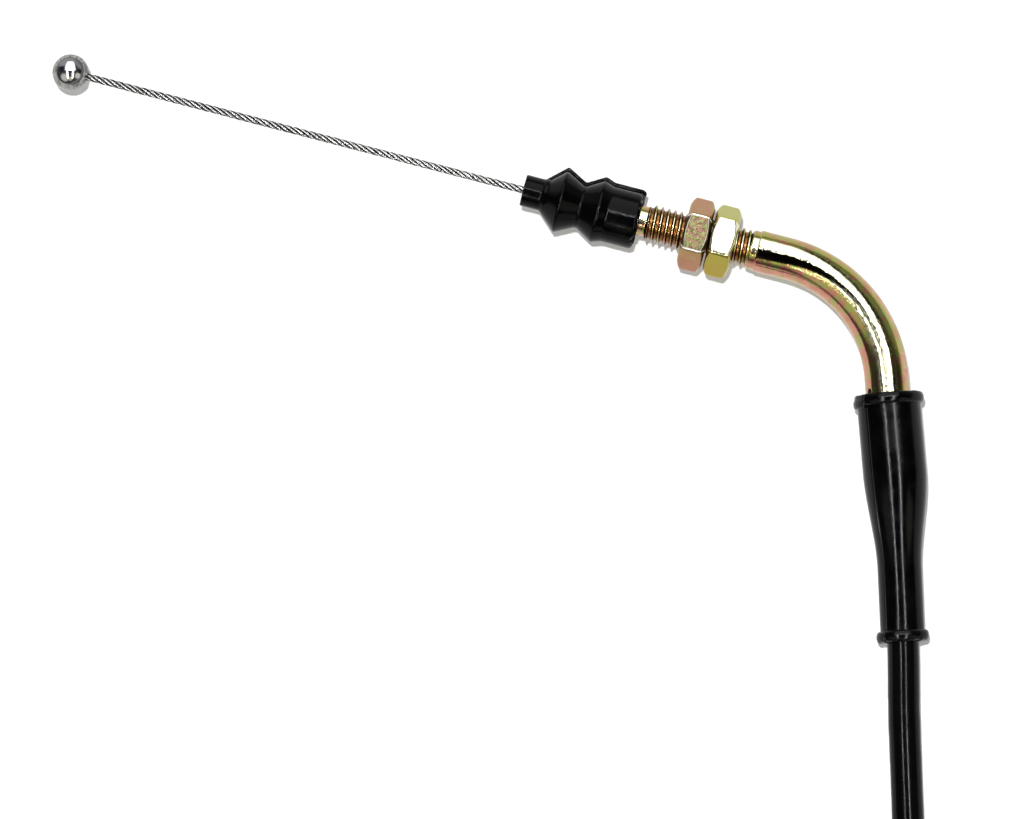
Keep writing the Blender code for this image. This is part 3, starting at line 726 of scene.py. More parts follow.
def strandSteel():
    made, paint = material("strand_steel")
    depth = paint.mark()
    mottle = paint.noise(paint.place(), 2600, 3)
    shade = paint.step(mottle, 0.35, 0.7)
    colour = paint.mixed(shade, sRGB(186, 187, 188), sRGB(232, 233, 234))
    # painted shade in the gaps deep among the strands
    colour = paint.mixed(paint.step(depth, 0.97, 0.72), colour, sRGB(16, 16, 15))
    rough = 0.22 + paint.step(mottle, 0.3, 0.8, 0.0, 0.12)
    paint.surfaceOut(colour, rough, metallic=1.0)
    return made


def ropeShape(line, start, end, spacing):
    # strand middle: angle = 2 pi (strand / 6 + along / lay). A wire circles it very slowly, with
    # its own lay, in the plane of the strand's outward direction and the cross of its heading
    rows = round((end - start) / spacing) + 1
    along = np.linspace(start, end, rows)[:, None, None]
    strand = np.arange(6)[None, :, None]
    wire = np.arange(6)[None, None, :]
    around = 2 * np.pi * (strand / 6 + along / rope["lay"])
    outwards = np.stack([0 * around, np.cos(around), np.sin(around)], -1)
    steep = 2 * np.pi * rope["strandRadius"] / rope["lay"]
    leaning = [np.ones_like(around), -steep * np.sin(around), steep * np.cos(around)]
    cross = np.cross(unit(np.stack(leaning, -1)), outwards)
    own = 2 * np.pi * (wire / 6 + along / rope["wireLay"]) + 0 * around
    offset = np.cos(own)[..., None] * outwards + np.sin(own)[..., None] * cross
    strandMiddle = rope["strandRadius"] * outwards
    wireMiddle = strandMiddle + rope["wireOffset"] * offset
    shapes = []
    place = along[:, 0, 0]
    groups = [
        (wireMiddle.reshape(rows, 36, 3), rope["wireRadius"], rope["sides"]),
        (strandMiddle.reshape(rows, 6, 3), rope["wireRadius"], 5),
        (np.zeros((rows, 1, 3)), rope["coreRadius"], 8),
    ]
    for lines, radius, sides in groups:
        path = lines.copy()
        path[..., 0] += place[:, None]
        ahead = unit(np.gradient(path, place, axis=0))
        side = unit(np.cross(up, ahead))
        above = np.cross(ahead, side)
        angle = turns(sides)[None, :, None]
        for k in range(path.shape[1]):
            ring = np.cos(angle) * side[:, k, None] + np.sin(angle) * above[:, k, None]
            grid = path[:, k, None] + radius * ring
            # how deep among the strands a place lies, for painted shade
            depth = np.hypot(grid[..., 1], grid[..., 2]) / rope["shadeDepth"] - 1
            origin, heading = line(grid[..., 0])
            sideways = np.cross(up, heading)
            grid = origin + grid[..., 1:2] * sideways + grid[..., 2:3] * up
            shapes.append(tubeShape(grid, place, False, depth))
    return joined(shapes)


def makeRopes():
    finish = strandSteel()
    shape = ropeShape(wireLine, rope["start"], rope["end"], rope["spacing"])
    front = addPiece("wire_rope", shape, 80, finish, "ball_wire", "strand_steel", "inner_wire")
    start, end = farSocketFloor + far["wireClearOfCasing"], nippleMiddle - seatGap
    shape = ropeShape(farLine, start, end, rope["farSpacing"])
    piece = addPiece("far_wire_rope", shape, 80, finish, "far_pull", "strand_steel", "far_wire")
    # too thin to leave a shadow that can be told from the light floor
    for thin in (front, piece):
        thin.visible_shadow = False
    return piece


# Dust boot: two mould halves that meet off their line, so a thin ledge runs along each side


def rubber(name, roughness, mirrored, bumpHeight):
    # nearly black, with faint clouds, fine grain and a few specks of dust
    made, paint = material(name)
    grain = paint.noise(paint.place(), 7500, 3, 0.6)
    cloud = paint.noise(paint.place(), 430, 3, 0.5)
    waves = paint.noise(paint.place(), 1300, 2, 0.5)
    dust = paint.step(paint.noise(paint.place(), 5200, 2, 0.5), 0.70, 0.80)
    colour = paint.mixed(paint.step(cloud, 0.3, 0.7), sRGB(1, 1, 2), sRGB(4, 4, 5))
    colour = paint.mixed(dust * 0.18, colour, sRGB(60, 60, 62))
    rough = roughness + paint.step(cloud, 0.35, 0.7, 0.0, 0.07) + dust * 0.15
    normal = paint.bump(grain * 0.35 + waves * 1.1 + cloud * 1.6, bumpHeight)
    paint.surfaceOut(colour, rough, normal, mirrored=mirrored)
    return made


def halfTurns(count):
    # angle, share of the step to the side, and drop below the halves, for each column round: two
    # half circles, with a small groove where the upper half meets the ledge
    half = np.linspace(0, np.pi, count // 2)
    angle = np.concatenate([[0, 0, 0], half, half + np.pi])
    aside = np.concatenate([[-0.22, -0.40, -0.5], np.repeat([-0.5, 0.5], count // 2)])
    drop = np.concatenate([[0, 1, 1], np.zeros(2 * (count // 2))])
    return angle, aside, drop


def makeBoot():
    # radius by distance from the corners below, less half the mould's step, with each half moved
    # sideways by half a step
    s, seat = boot, boot["seat"] + seatGap
    seatRadius = elbow["neckRadius"] + seatGap
    corners = [
        (0, s["noseRadius"], 0.00014),
        (s["noseLength"], s["noseRadius"], 0.00024),
        (s["firstPeak"], s["peakRadius"], 0.00030),
        (s["valley"], s["valleyRadius"], 0.00032),
        (s["secondPeak"], s["peakRadius"], 0.00030),
        (s["body"], s["bodyRadius"], 0.00024),
        (s["length"] - 0.00045, s["bodyRadius"], 0.00012),
        (s["length"], s["bodyRadius"] - 0.00030, 0.00012),
        (s["length"], seatRadius, 0.00012),
        (s["length"] - seat, seatRadius, 0),
        (s["secondPeak"], s["peakRadius"] - s["wall"], 0.0004),
        (s["valley"], s["valleyRadius"] - s["wall"], 0.0004),
        (s["firstPeak"], s["peakRadius"] - s["wall"], 0.0004),
        (s["noseLength"], s["mouthRadius"], 0),
        (0, s["mouthRadius"], 0.0001),
    ]
    along, radius, length = outline(corners, 0.00022)
    angle, aside, drop = halfTurns(144)
    along, radius = along[:, None], radius[:, None]
    outer = radius > seatRadius + 0.0001
    nose = bell(along, s["noseFade"]) * outer * uneven(angle, 3)
    lip = bell(along - s["length"], s["lipFade"]) * outer * uneven(angle, 4)
    shifted = along + s["ragged"] * (nose + 0.6 * lip)
    swell = s["swell"] * uneven(angle, 5, 2, 9) * outer
    step = np.clip((radius - seatRadius) / s["stepFade"], 0, 1) * outer
    less = s["mouldStep"] / 2 * step
    grid = carried(wireLine, s["tip"] + shifted, radius - less + swell, angle, aside * 2 * less)
    grid[..., 2] -= drop * s["groove"] * step
    finish = rubber("boot_rubber", 0.085, 0.09, 0.000010)
    addPiece(
        "rubber_boot", tubeShape(grid, length), 34, finish, "casing", "boot_rubber", "dust_boot",
    )


# Threaded elbow

zinc = dict(
    gold=(188, 170, 96), olive=(166, 163, 84), rose=(192, 132, 114), tan=(205, 165, 138),
    green=(158, 172, 98), pale=(236, 234, 198), copper=(130, 80, 42), brown=(58, 35, 17),
)
# painted shade and a painted dark reflection along the elbow's tube
reflectionShades = dict(
    # lengths from and to, with the turns that an edge lies at there
    outer=(0.018, 0.052, 0.152, 0.216), inner=(0.030, 0.045, 0.303, 0.283),
    above=(0.0400, 0.0560, 0.239, 0.2425), below=(0.022, 0.045, 0.334, 0.259),
    shadesFrom=(0.0290, 0.0330), deeper=(0.034, 0.050), darkFrom=(0.0246, 0.0250),
    # lengths from and to, with the least of the fine noise that stays dark there
    specks=(0.036, 0.058, 0.25, 0.56),
    olive=(84, 82, 48), brown=(34, 30, 18), dark=(20, 18, 11),
)


def darkened(paint, colour, turn, length, grit, fine):
    # painted shade beside the bright stretch on the tube's top, where the lamps' reflections end,
    # then a painted dark reflection in it, which breaks up into specks past the bend's middle
    moved = turn + (grit - 0.5) * 0.07 + (fine - 0.5) * 0.02
    outer = moved - paint.step(length, *reflectionShades["outer"])
    inner = moved - paint.step(length, *reflectionShades["inner"])
    shade = paint.step(length, *reflectionShades["deeper"])
    shade = paint.mixed(shade, sRGB(*reflectionShades["olive"]), sRGB(*reflectionShades["brown"]))
    beside = paint.step(outer, 0.002, -0.004) * paint.step(outer, -0.028, -0.018)
    beyond = paint.step(inner, -0.002, 0.004) * paint.step(inner, 0.028, 0.018)
    shadesPainted = (beside + beyond) * paint.step(length, *reflectionShades["shadesFrom"])
    colour = paint.mixed(shadesPainted, colour, shade)
    above = moved - paint.step(length, *reflectionShades["above"])
    below = moved - paint.step(length, *reflectionShades["below"])
    dark = paint.step(above, -0.003, 0.003) * paint.step(below, 0.003, -0.003)
    dark = dark * paint.step(fine - paint.step(length, *reflectionShades["specks"]), 0.0, 0.06)
    dark = dark * paint.step(length, *reflectionShades["darkFrom"])
    return paint.mixed(dark, colour, sRGB(*reflectionShades["dark"]))


def zincPaint(
    name, bands, speckle=0.3, roughness=0.13, drift=0.05, grooves=False, shadesPainted=False, pebbled=None
):
    # bands are (share of the way round, colour): the plating's tints, painted by the way the
    # surface faces, so that they also stand in for its reflections, pale where the lamps'
    # highlights fall. They are moved about by noise, so that the tints drift
    made, paint = material(name)
    place = paint.place()
    length, turn = paint.surface()
    cloud = paint.noise(place, 330, 4, 0.55, 0.4)
    fine = paint.noise(place, 2300, 4, 0.65)
    grit = paint.noise(place, 4200, 3, 0.6)
    moved = turn + (cloud - 0.5) * drift + (fine - 0.5) * drift * 0.3
    if shadesPainted:
        # past the middle of the bend the tints lie further in
        moved = moved - paint.step(length, 0.032, 0.052, 0.0, 0.036)
    colour = paint.ramp(moved, [(spot, sRGB(*shade)) for spot, shade in bands])
    if shadesPainted:
        # the pale middle stays clear of them
        speckle = paint.step(paint.math("ABSOLUTE", moved - 0.225), 0.045, 0.075) * speckle
    patches = paint.step(paint.noise(place, 520, 3, 0.5, 0.8), 0.48, 0.58)
    colour = paint.mixed(patches * speckle, colour, sRGB(*zinc["rose"]))
    greens = paint.step(paint.noise(place, 610, 3, 0.5, 0.6), 0.50, 0.60)
    colour = paint.mixed(greens * speckle, colour, sRGB(*zinc["green"]))
    dots = paint.step(paint.noise(place, 5200, 2, 0.6), 0.66, 0.76)
    colour = paint.mixed(dots * 0.30, colour, sRGB(96, 78, 52))
    # painted shade and a painted dark reflection along the tube
    if shadesPainted:
        colour = darkened(paint, colour, turn, length, grit, fine)
    rough = roughness + paint.step(fine, 0.4, 0.75, 0.0, 0.08) + dots * 0.12
    height = fine * 0.5 + grit * 0.75 + paint.noise(place, 900, 3) * 1.2
    if grooves:
        depth = paint.mark()
        inside = paint.step(grit, 0.4, 0.62)
        inside = paint.mixed(inside, sRGB(*zinc["copper"]), sRGB(126, 96, 48))
        # the thread's flanks are painted dark brown and its roots copper: the plating's tint in the
        # thread, with painted shade on the flanks
        colour = paint.mixed(paint.step(depth, 0.08, 0.34), colour, sRGB(*zinc["brown"]))
        colour = paint.mixed(paint.step(depth, 0.68, 1.0), colour, inside)
        rough = rough + depth * 0.10
    if pebbled:
        # a face that is rough from stamping, mottled green and pink
        coarse = paint.noise(place, 1500, 3, 0.6, 0.6)
        face = paint.step(turn, pebbled, pebbled - 0.004)
        mottle = paint.step(coarse, 0.47, 0.53)
        mottle = paint.mixed(mottle, sRGB(96, 62, 60), sRGB(76, 90, 46))
        veins = paint.step(paint.noise(place, 2400, 2, 0.5, 0.5), 0.53, 0.59)
        mottle = paint.mixed(veins * 0.85, mottle, sRGB(38, 30, 22))
        colour = paint.mixed(face * 0.92, colour, mottle)
        # a painted highlight along the rim of the stamped face
        rim = paint.step(turn, pebbled + 0.010, pebbled + 0.004)
        rim = paint.step(paint.mark(), 0.50, 0.9) * rim
        colour = paint.mixed(rim, colour, sRGB(255, 252, 244))
        rough = rough + face * 0.12 + rim * 0.25
        height = height + coarse * face * 9.0
    paint.surfaceOut(colour, rough, paint.bump(height, 0.000013), metallic=1.0)
    return made


def threadDepth(along, turn, start, end):
    # a groove by the distance from the nearest crest, (along - start) / pitch - turn / 2 pi: a
    # right-hand thread, with a flat crest, leaning flanks and a round root, fading at both ends
    place = (along - start) / elbow["pitch"] - turn / (2 * np.pi)
    fromCrest = np.abs(place - np.round(place))
    groove = np.clip((fromCrest - 0.06) / 0.27, 0, 1)
    groove = 0.5 * groove + 0.5 * eased(groove)
    fadeIn = eased((along - start) / (0.5 * elbow["pitch"]))
    return groove * fadeIn * eased((end - along) / (0.4 * elbow["pitch"]))


def screwShape(line, outside, corners, inside, thread, columns, wider=0.0):
    # radius by distance from the corners, less thread depth times its groove outside, then back
    # through the hole. A section is 1 + wider (cos turn)^2 times as wide
    holeAlong, holeRadius = np.array(inside).T
    along = np.concatenate([outside, holeAlong])
    radius = np.concatenate([np.interp(outside, *np.array(corners).T), holeRadius])
    length = pathLength(np.column_stack([along, radius]))
    angle = turns(columns)
    oval = np.zeros((len(along), 1))
    oval[:len(outside), 0] = wider
    groove = threadDepth(along[:, None], angle, *thread)
    groove[len(outside):] = 0
    radius = radius[:, None] * (1 + oval * np.cos(angle) ** 2) - elbow["threadDepth"] * groove
    return tubeShape(carried(line, along[:, None], radius, angle), length, True, groove)


def makeElbow():
    s = elbow
    outside = np.concatenate([
        np.linspace(neckStart, threadStart - 0.0001, 16),
        np.arange(threadStart, tubeStart + 0.0005, 0.00005),
        np.linspace(tubeStart + 0.0005, bendStart, 14),
        np.linspace(bendStart, bendEnd, 64)[1:],
        np.linspace(bendEnd, tubeEnd, 24)[1:],
    ])
    ring, ringRadius = tubeStart + s["ringAfter"], s["tubeRadius"] - s["ringDepth"]
    corners = [
        (neckStart, s["neckRadius"]),
        (threadStart, s["neckRadius"]),
        (threadStart + s["threadChamfer"], s["threadRadius"]),
        (threadEnd, s["threadRadius"]),
        (threadEnd + 0.0001, s["collarRadius"]),
        (ring - 0.00012, s["collarRadius"]),
        (ring - 0.00002, ringRadius),
        (ring + 0.0001, s["tubeRadius"]),
        (tubeEnd, s["tubeRadius"]),
    ]
    inside = [(tubeEnd, s["socketRadius"]), (socketFloor, s["socketRadius"])]
    for distance in [socketFloor, *np.linspace(bendEnd, bendStart, 40), neckStart]:
        inside.append((distance, s["boreRadius"]))
    # bending flattened the tube: it is a little wider than high down to the sleeve
    wider = s["oval"] * eased((outside - bendStart) / (bendEnd - bendStart))
    wider = wider * eased((sleeveStart + 0.0030 - outside) / 0.0015)
    shape = screwShape(elbowLine, outside, corners, inside, (threadStart, threadEnd), 96, wider)
    # a pale band along the top where the lamps' highlights fall and darker tints on the sides:
    # painted reflection over the plating's tints
    bands = [
        (0.0, zinc["tan"]), (0.065, zinc["tan"]), (0.095, zinc["olive"]), (0.150, zinc["olive"]),
        (0.175, zinc["pale"]), (0.275, zinc["pale"]), (0.295, (178, 160, 100)),
        (0.335, (170, 150, 96)), (0.352, (206, 138, 124)), (0.42, (204, 150, 128)),
        (0.47, zinc["tan"]), (0.55, zinc["gold"]), (0.80, zinc["olive"]), (1.0, zinc["tan"]),
    ]
    finish = zincPaint("elbow_zinc", bands, 0.75, 0.11, 0.035, grooves=True, shadesPainted=True)
    addPiece("elbow", shape, 50, finish, "casing", "yellow_zinc", "threaded_elbow")


# Lock nuts

nut = dict(
    acrossFlats=0.0100, thickness=0.0039, faceRadius=0.0046, slope=math.tan(math.radians(30)),
    boreChamfer=0.0004, fit=0.0001, cornerLess=0.00010, cornerSoftness=0.00005,
    edgeRounding=0.00030, fromThreadStart=0.0060, pairGap=0.0003, bracketGap=0.0040,
    farFromTube=0.0060, frontTurnDeg=-3.3, rearTurnDeg=2.6, farTurnDeg=3.0,
)


def nutShape(line, start, turnDeg):
    # wall radius = half across flats / cos(angle from the flat's middle), with softened corners.
    # A cone cuts it at both ends, and each section's corners are rounded off
    s = nut
    t = np.linspace(-1, 1, 22, endpoint=False)
    fromFlat = math.radians(30) * (1.5 * t - 0.5 * t**3)
    wall = s["acrossFlats"] / 2 / np.cos(fromFlat)
    most = s["acrossFlats"] / 2 / math.cos(math.radians(30)) - s["cornerLess"]
    soft = s["cornerSoftness"]
    wall = -soft * np.log(np.exp(-wall / soft) + np.exp(-most / soft)) + soft * 0.3
    wall = np.tile(wall, 6)
    angle = (np.radians(60) * np.arange(6)[:, None] + fromFlat).ravel() + math.radians(90 - turnDeg)
    half, cut = s["thickness"] / 2, (wall - s["faceRadius"]) * s["slope"]
    bore = elbow["threadRadius"] + s["fit"]
    flat = np.ones_like(wall)
    corners = np.stack([
        np.stack([-half * flat, s["faceRadius"] * flat]),
        np.stack([-half + cut, wall]),
        np.stack([half - cut, wall]),
        np.stack([half * flat, s["faceRadius"] * flat]),
        np.stack([half * flat, (bore + s["boreChamfer"]) * flat]),
        np.stack([(half - s["boreChamfer"]) * flat, bore * flat]),
        np.stack([(-half + s["boreChamfer"]) * flat, bore * flat]),
        np.stack([-half * flat, (bore + s["boreChamfer"]) * flat]),
    ])
    ahead, behind = np.roll(corners, -1, 0) - corners, np.roll(corners, 1, 0) - corners
    first, second = [
        corners + way * np.minimum(s["edgeRounding"] / np.linalg.norm(way, axis=1), 0.45)[:, None]
        for way in (behind, ahead)
    ]
    share = np.linspace(0, 1, 5)[None, :, None, None]
    first, second, at = first[:, None], second[:, None], corners[:, None]
    curve = (1 - share) ** 2 * first + 2 * share * (1 - share) * at + share**2 * second
    following = np.roll(first, -1, 0)
    support = np.array([0.06, 0.5, 0.94])[None, :, None, None]
    straight = second * (1 - support) + following * support
    rows = np.concatenate([curve, straight], 1).reshape(-1, 2, len(wall))
    along, radius = rows[:, 0], rows[:, 1]
    middle = start + half
    grid = carried(line, middle + along, radius, angle)
    length = pathLength(rows[:, :, 0])
    # the mark shows how near a place is to the rim of its flat, where a painted highlight goes
    rim = np.zeros((8, 8, 1))
    rim[1:3, 2] = 1
    side = np.clip((np.abs(np.tile(t, 6)) - 0.70) / 0.12, 0, 1) * (np.abs(along) < half)
    return tubeShape(grid, length, True, np.maximum(rim.reshape(-1, 1), side))


def makeNuts():
    # each face is painted its own tint, lighter on the faces turned to the lamps: painted lit and
    # shaded copies of the zinc. The face that looks up comes first in each list, the far side's
    # follow
    frontBands = [
        (0.0, (196, 176, 140)), (0.155, (196, 176, 140)), (0.175, (158, 137, 84)),
        (0.24, (166, 124, 92)), (0.33, (175, 120, 104)), (0.60, (186, 140, 112)),
        (0.825, (176, 131, 97)), (1.0, (174, 129, 93)),
    ]
    rearBands = [
        (0.0, zinc["pale"]), (0.158, zinc["pale"]), (0.175, (167, 158, 72)), (0.30, (170, 150, 68)),
        (0.34, zinc["gold"]), (0.60, zinc["gold"]), (0.825, (172, 178, 86)), (0.99, (179, 178, 90)),
        (1.0, zinc["pale"]),
    ]
    rose = zincPaint("nut_rose_zinc", frontBands, 0.20, 0.17, 0.012, pebbled=0.160)
    yellow = zincPaint("nut_yellow_zinc", rearBands, 0.10, 0.15, 0.008)
    frontStart = threadStart + nut["fromThreadStart"]
    rearStart = frontStart + nut["thickness"] + nut["pairGap"]
    innerStart = farThreadStart + nut["farFromTube"]
    outerStart = innerStart + nut["thickness"] + nut["bracketGap"]
    front, rear, apart = nut["frontTurnDeg"], nut["rearTurnDeg"], nut["farTurnDeg"]
    nuts = [
        ("front", wireLine, frontStart, front, rose, "rose_zinc"),
        ("rear", wireLine, rearStart, rear, yellow, "yellow_zinc"),
        ("far_inner", farLine, innerStart, apart, rose, "rose_zinc"),
        ("far_outer", farLine, outerStart, apart, rose, "rose_zinc"),
    ]
    made = []
    for name, line, start, turnDeg, finish, slot in nuts:
        shape, node = nutShape(line, start, turnDeg), f"{name}_nut"
        made.append(addPiece(f"{name}_lock_nut", shape, 60, finish, node, slot, node))
    return made[2:]


# Rubber sleeves


def beadLine(start, width, radius, base):
    angle = np.linspace(0, math.pi, 15)
    along = start + width / 2 * (1 - np.cos(angle))
    return along, base + (radius - base) * np.sin(angle) ** sleeve["fullness"]


def sleeveShape(line, start, length, taperStart, taperEnd, backwards, seed):
    # outside: a round bead, the body, an eased taper, the tail and a small bead. The half through
    # the side that faces the bend was moulded a little further along
    s = sleeve
    bead = beadLine(s["beadStart"], s["beadWidth"], s["beadRadius"], s["bodyRadius"])
    endStart = length - s["endBeadWidth"]
    endBead = beadLine(endStart, s["endBeadWidth"], s["endBeadRadius"], s["tailRadius"])
    share = np.linspace(0, 1, 26)
    taper = taperStart + (taperEnd - taperStart) * share
    taperRadius = s["bodyRadius"] + (s["tailRadius"] - s["bodyRadius"]) * eased(share)
    body = np.linspace(s["beadStart"] + s["beadWidth"], taperStart, 16)[1:-1]
    rest = np.linspace(taperEnd, endStart, 14)[1:-1]
    bodyRadius, restRadius = 0 * body + s["bodyRadius"], 0 * rest + s["tailRadius"]
    outside = np.concatenate([bead[0], body, taper, rest, endBead[0]])
    outsideRadius = np.concatenate([bead[1], bodyRadius, taperRadius, restRadius, endBead[1]])
    shelf = elbow["legInSleeve"] + seatGap
    mouthRadius = elbow["tubeRadius"] + elbow["mouthGap"]
    inside = np.append(np.linspace(length, shelf, 14), np.linspace(shelf, s["beadStart"], 8))
    insideRadius = np.repeat([elbow["socketRadius"], mouthRadius], [14, 8])
    along = np.concatenate([outside, inside])
    radius = np.concatenate([outsideRadius, insideRadius])
    outer = np.arange(len(along)) < len(outside)
    if backwards:
        along, radius, outer = length - along[::-1], radius[::-1], outer[::-1]
    stretch = pathLength(np.column_stack([along, radius]))
    # closer columns at the line where the mould's halves met, which shows as a fine groove
    seam = math.radians(s["seamDeg"])
    near = seam + np.radians([-2.2, -1.1, -0.45, 0.0, 0.45, 1.1, 2.2])
    angle = np.sort(np.concatenate([turns(128), near]))
    groove = s["seamDepth"] * bell(angle - seam, math.radians(0.9))
    along, radius, outer = along[:, None], radius[:, None], outer[:, None]
    wide = length - along if backwards else along
    laterHalf = np.abs((np.degrees(angle) - s["seamDeg"] - 90 + 180) % 360 - 180) < 90
    late = bell(wide, s["stepFade"]) * s["mouldStep"]
    late = late + bell(wide - length, s["stepFade"]) * s["endStep"]
    shift = late * laterHalf * outer * (wide > s["beadStart"] + 0.0001)
    lips = bell(wide, s["lipFade"]) * uneven(angle, seed)
    lips = s["ragged"] * (lips + bell(wide - length, s["lipFade"]) * uneven(angle, seed + 1))
    swell = bell(wide - length, s["swellFade"]) * uneven(angle, seed + 2, 2, 8)
    swell = s["swell"] * swell * outer
    along = along + (shift + lips) * (-1 if backwards else 1)
    grid = carried(line, start + along, radius + swell - groove * outer, angle)
    return tubeShape(grid, stretch)


def nubShape():
    # flash left by the mould on the tube's side: an ellipse, width = square root of (1 - along^2)
    s = sleeve
    share = np.linspace(-1, 1, 15)[1:-1]
    along = sleeveStart + s["beadStart"] + 0.0003 + share[:, None] * (s["nubLength"] + 0.0001)
    half = s["nubWidth"] / 2 * np.sqrt(1 - share[:, None] ** 2)
    section, turn = turns(14), math.radians(s["nubTurnDeg"])
    radius = elbow["tubeRadius"] + elbow["mouthGap"] + half * np.cos(section)
    grid = carried(casingLine, along, radius, turn + half * np.sin(section) / elbow["tubeRadius"])
    return tubeShape(grid, along[:, 0], False)


def makeSleeves():
    finish = rubber("sleeve_rubber", 0.095, 0.15, 0.000012)
    taper = sleeve["taperStart"], sleeve["taperEnd"]
    shape = sleeveShape(casingLine, sleeveStart, sleeve["length"], *taper, False, 11)
    shape = joined([shape, nubShape()])
    addPiece("rubber_sleeve", shape, 50, finish, "casing", "sleeve_rubber", "elbow_sleeve")
    taper = far["taperStart"], far["taperEnd"]
    shape = sleeveShape(farLine, 0.0, far["sleeveLength"], *taper, True, 21)
    return addPiece(
        "far_rubber_sleeve", shape, 50, finish, "casing", "sleeve_rubber", "far_sleeve",
    )


# Casing


def casingPlastic():
    made, paint = material("casing_plastic")
    length, turn = paint.surface()
    streaks = paint.streaks(length * 60, turn * 44)
    cloud = paint.noise(paint.place(), 700, 3, 0.5)
    colour = paint.mixed(paint.step(streaks, 0.3, 0.7), sRGB(2, 2, 3), sRGB(6, 6, 7))
    rough = 0.11 + paint.step(cloud, 0.35, 0.7, 0.0, 0.06)
    normal = paint.bump(streaks * 0.8 + cloud * 0.8, 0.000012)
    paint.surfaceOut(colour, rough, normal, mirrored=0.13)
    return made


def makeCasing():
    # rings across the route: middle + radius (cos turn * side + sin turn * above), the radius
    # with slow ripples of a few hundredths of a millimetre, as an extruded jacket has
    heading = unit(np.gradient(casingMiddle, axis=0))
    side = unit(np.cross(up, heading))
    above = np.cross(heading, side)
    angle = turns(casing["sides"])[None, :, None]
    draw = np.random.default_rng(31)
    ripple = sum(
        draw.uniform(0.3, 1) * np.sin(casingPlaces * waves + draw.uniform(0, 6))
        for waves in draw.uniform(200, 1400, 12)
    )
    radius = casing["radius"] - casing["skin"] + casing["ripple"] * ripple
    ring = np.cos(angle) * side[:, None] + np.sin(angle) * above[:, None]
    grid = casingMiddle[:, None] + radius[:, None, None] * ring
    return addPiece(
        "casing", tubeShape(grid, casingPlaces, False), 50, casingPlastic(), "casing",
        "casing_plastic", "casing_run", "casing_coil", "casing_tail",
    )


# Ties round the coil

tie = dict(
    firstDeg=-40.0, count=3, width=0.0035, thickness=0.0006, cornerRadius=0.0020,
    lockLength=0.0050, lockHeight=0.0032, lockWider=0.0012, lockRounding=0.0004, squareness=0.35,
)


def tiePlastic():
    made, paint = material("tie_plastic")
    grain = paint.noise(paint.place(), 6000, 3)
    cloud = paint.noise(paint.place(), 500, 3)
    colour = paint.mixed(paint.step(cloud, 0.3, 0.7), sRGB(14, 14, 15), sRGB(22, 22, 24))
    rough = 0.34 + paint.step(cloud, 0.3, 0.8, 0.0, 0.12)
    paint.surfaceOut(colour, rough, paint.bump(grain, 0.00001), mirrored=0.3)
    return made


def roundedBox(size, rounding):
    # directions pushed out to a box with round edges: point = clamped core + rounding
    turn = turns(40)[None, :]
    lift = np.linspace(-np.pi / 2, np.pi / 2, 21)[1:-1, None]
    flat = [np.cos(lift) * np.cos(turn), np.cos(lift) * np.sin(turn)]
    direction = np.stack([*flat, np.sin(lift) + 0 * turn], -1)
    core = np.array(size) / 2 - rounding
    stretched = direction / np.abs(direction).max(-1, keepdims=True)
    return np.clip(stretched * 4, -1, 1) * core + rounding * direction


def tieShape(angleDeg):
    # a band with round edges led round a rounded rectangle outside the turns, and its lock
    s = tie
    halfWidth = 3 * casing["radius"] + seatGap + s["thickness"] / 2
    halfHeight = 2 * casing["radius"] + seatGap + s["thickness"] / 2
    corner = s["cornerRadius"] + s["thickness"] / 2
    quarter = np.linspace(0, math.pi / 2, 9)
    spots, normals = [], []
    for k, (sx, sy) in enumerate([(1, 1), (-1, 1), (-1, -1), (1, -1)]):
        bend = quarter + k * math.pi / 2
        normal = np.column_stack([np.cos(bend), np.sin(bend)])
        at = np.array([sx * (halfWidth - corner), sy * (halfHeight - corner)])
        spots.append(at + corner * normal)
        normals.append(normal)
    spots, normals = np.concatenate(spots), np.concatenate(normals)
    out = np.array([math.cos(math.radians(angleDeg)), math.sin(math.radians(angleDeg)), 0])
    sideways = np.cross(up, out)
    middle = coilMiddle + casing["turnRadii"][1] * out + np.array([0, 0, 2 * casing["radius"]])
    wave = np.stack([np.cos(turns(16)), np.sin(turns(16))])
    wave = np.sign(wave) * np.abs(wave) ** s["squareness"]
    flat, thick = wave[0] * s["width"] / 2, wave[1] * s["thickness"] / 2
    reach = spots[:, None] + normals[:, None] * thick[None, :, None]
    grid = middle + reach[..., :1] * out + reach[..., 1:] * up + flat[None, :, None] * sideways
    band = tubeShape(grid, pathLength(spots))
    size = (s["lockHeight"], s["width"] + s["lockWider"], s["lockLength"])
    lock = roundedBox(size, s["lockRounding"])
    lockOut = 3 * casing["radius"] + casing["coilFloor"] + s["lockHeight"] / 2
    lock = middle + (lock[..., :1] + lockOut) * out + lock[..., 1:2] * sideways + lock[..., 2:] * up
    return joined([band, tubeShape(lock, np.linspace(0, s["lockLength"], len(lock)), False)])


def makeTies():
    finish = tiePlastic()
    made = []
    for k in range(tie["count"]):
        shape = tieShape(tie["firstDeg"] + 360 * k / tie["count"])
        node = f"coil_tie_{k + 1}"
        piece = addPiece(f"cable_tie_{k + 1}", shape, 45, finish, "casing", "tie_plastic", node)
        made.append(piece)
    return made


# Far end: the adjuster with its thread, and the barrel nipple


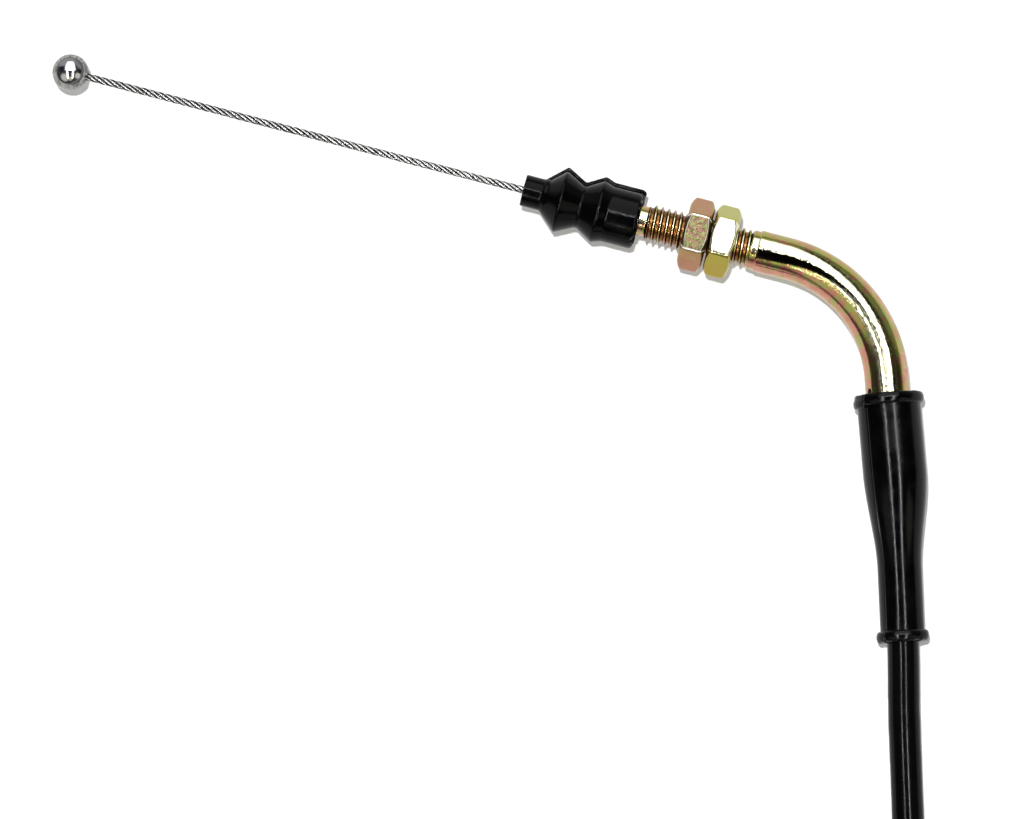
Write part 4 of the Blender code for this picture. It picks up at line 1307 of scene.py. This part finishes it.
def makeAdjuster():
    s = elbow
    outside = np.concatenate([
        np.linspace(farTubeStart, farTubeEnd, 20),
        np.arange(farTubeEnd + 0.0002, farThreadEnd, 0.00006),
        np.linspace(farThreadEnd, farNeckEnd, 8),
    ])
    corners = [
        (farTubeStart, s["tubeRadius"]),
        (farTubeEnd, s["tubeRadius"]),
        (farThreadStart, s["threadRadius"]),
        (farThreadEnd - s["threadChamfer"], s["threadRadius"]),
        (farThreadEnd, s["neckRadius"]),
        (farNeckEnd, s["neckRadius"]),
    ]
    inside = [
        (farNeckEnd, far["wireBore"]),
        (farSocketFloor, far["wireBore"]),
        (farSocketFloor, s["socketRadius"]),
        (farTubeStart, s["socketRadius"]),
    ]
    shape = screwShape(farLine, outside, corners, inside, (farThreadStart, farThreadEnd), 72)
    bands = [
        (0.0, zinc["tan"]), (0.12, zinc["olive"]), (0.25, zinc["gold"]), (0.4, zinc["rose"]),
        (0.7, zinc["olive"]), (1.0, zinc["tan"]),
    ]
    finish = zincPaint("adjuster_zinc", bands, grooves=True)
    return addPiece(
        "far_adjuster_screw", shape, 50, finish, "casing", "yellow_zinc", "far_adjuster",
    )


def makeNipple():
    # a barrel across the wire, turned about Y, with bevelled ends and centre marks
    half, radius = far["nippleLength"] / 2, far["nippleDiameter"] / 2
    mark, rounding = far["nippleMark"], far["nippleRounding"]
    corners = [
        (-half, mark, 0), (-half, radius, rounding), (half, radius, rounding), (half, mark, 0),
    ]
    along, ringRadius, length = outline(corners, 0.0003, False)
    acrossLine = straightLine(farLine(nippleMiddle)[0], (0, 1, 0))
    grid = carried(acrossLine, along[:, None], ringRadius[:, None], turns(96))
    made, paint = material("nipple_steel")
    fine = paint.noise(paint.place(), 2600, 4)
    shade = paint.step(fine, 0.35, 0.7)
    colour = paint.mixed(shade, sRGB(150, 150, 152), sRGB(186, 186, 188))
    rough = 0.2 + paint.step(fine, 0.4, 0.8, 0.0, 0.15)
    rings = paint.streaks(paint.surface()[0] * 7000, 0.0)
    paint.surfaceOut(colour, rough, paint.bump(rings, 0.000006), metallic=1.0)
    shape = tubeShape(grid, length, False)
    return addPiece("nipple", shape, 40, made, "far_pull", "ball_steel", "barrel_nipple")


def linerPlastic():
    made, paint = material("liner_plastic")
    cloud = paint.noise(paint.place(), 900, 3)
    shade = paint.step(cloud, 0.3, 0.7)
    colour = paint.mixed(shade, sRGB(228, 226, 218), sRGB(238, 237, 232))
    rough = 0.36 + paint.step(cloud, 0.3, 0.7, 0.0, 0.1)
    paint.surfaceOut(colour, rough, paint.bump(cloud, 0.00001))
    return made


makeBall()
farRope = makeRopes()
print("ball and wires")
makeBoot()
makeElbow()
farNuts = makeNuts()
print("boot, elbow and nuts")
farSleeve = makeSleeves()
casingPiece = makeCasing()
ties = makeTies()
adjuster = makeAdjuster()
nipple = makeNipple()
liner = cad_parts["elbow_liner"]
liner.data.materials.clear()
liner.data.materials.append(linerPlastic())
print("sleeves, casing, ties and far end")

casingExit = placed(casingLine(np.array(tubeEnd))[0])
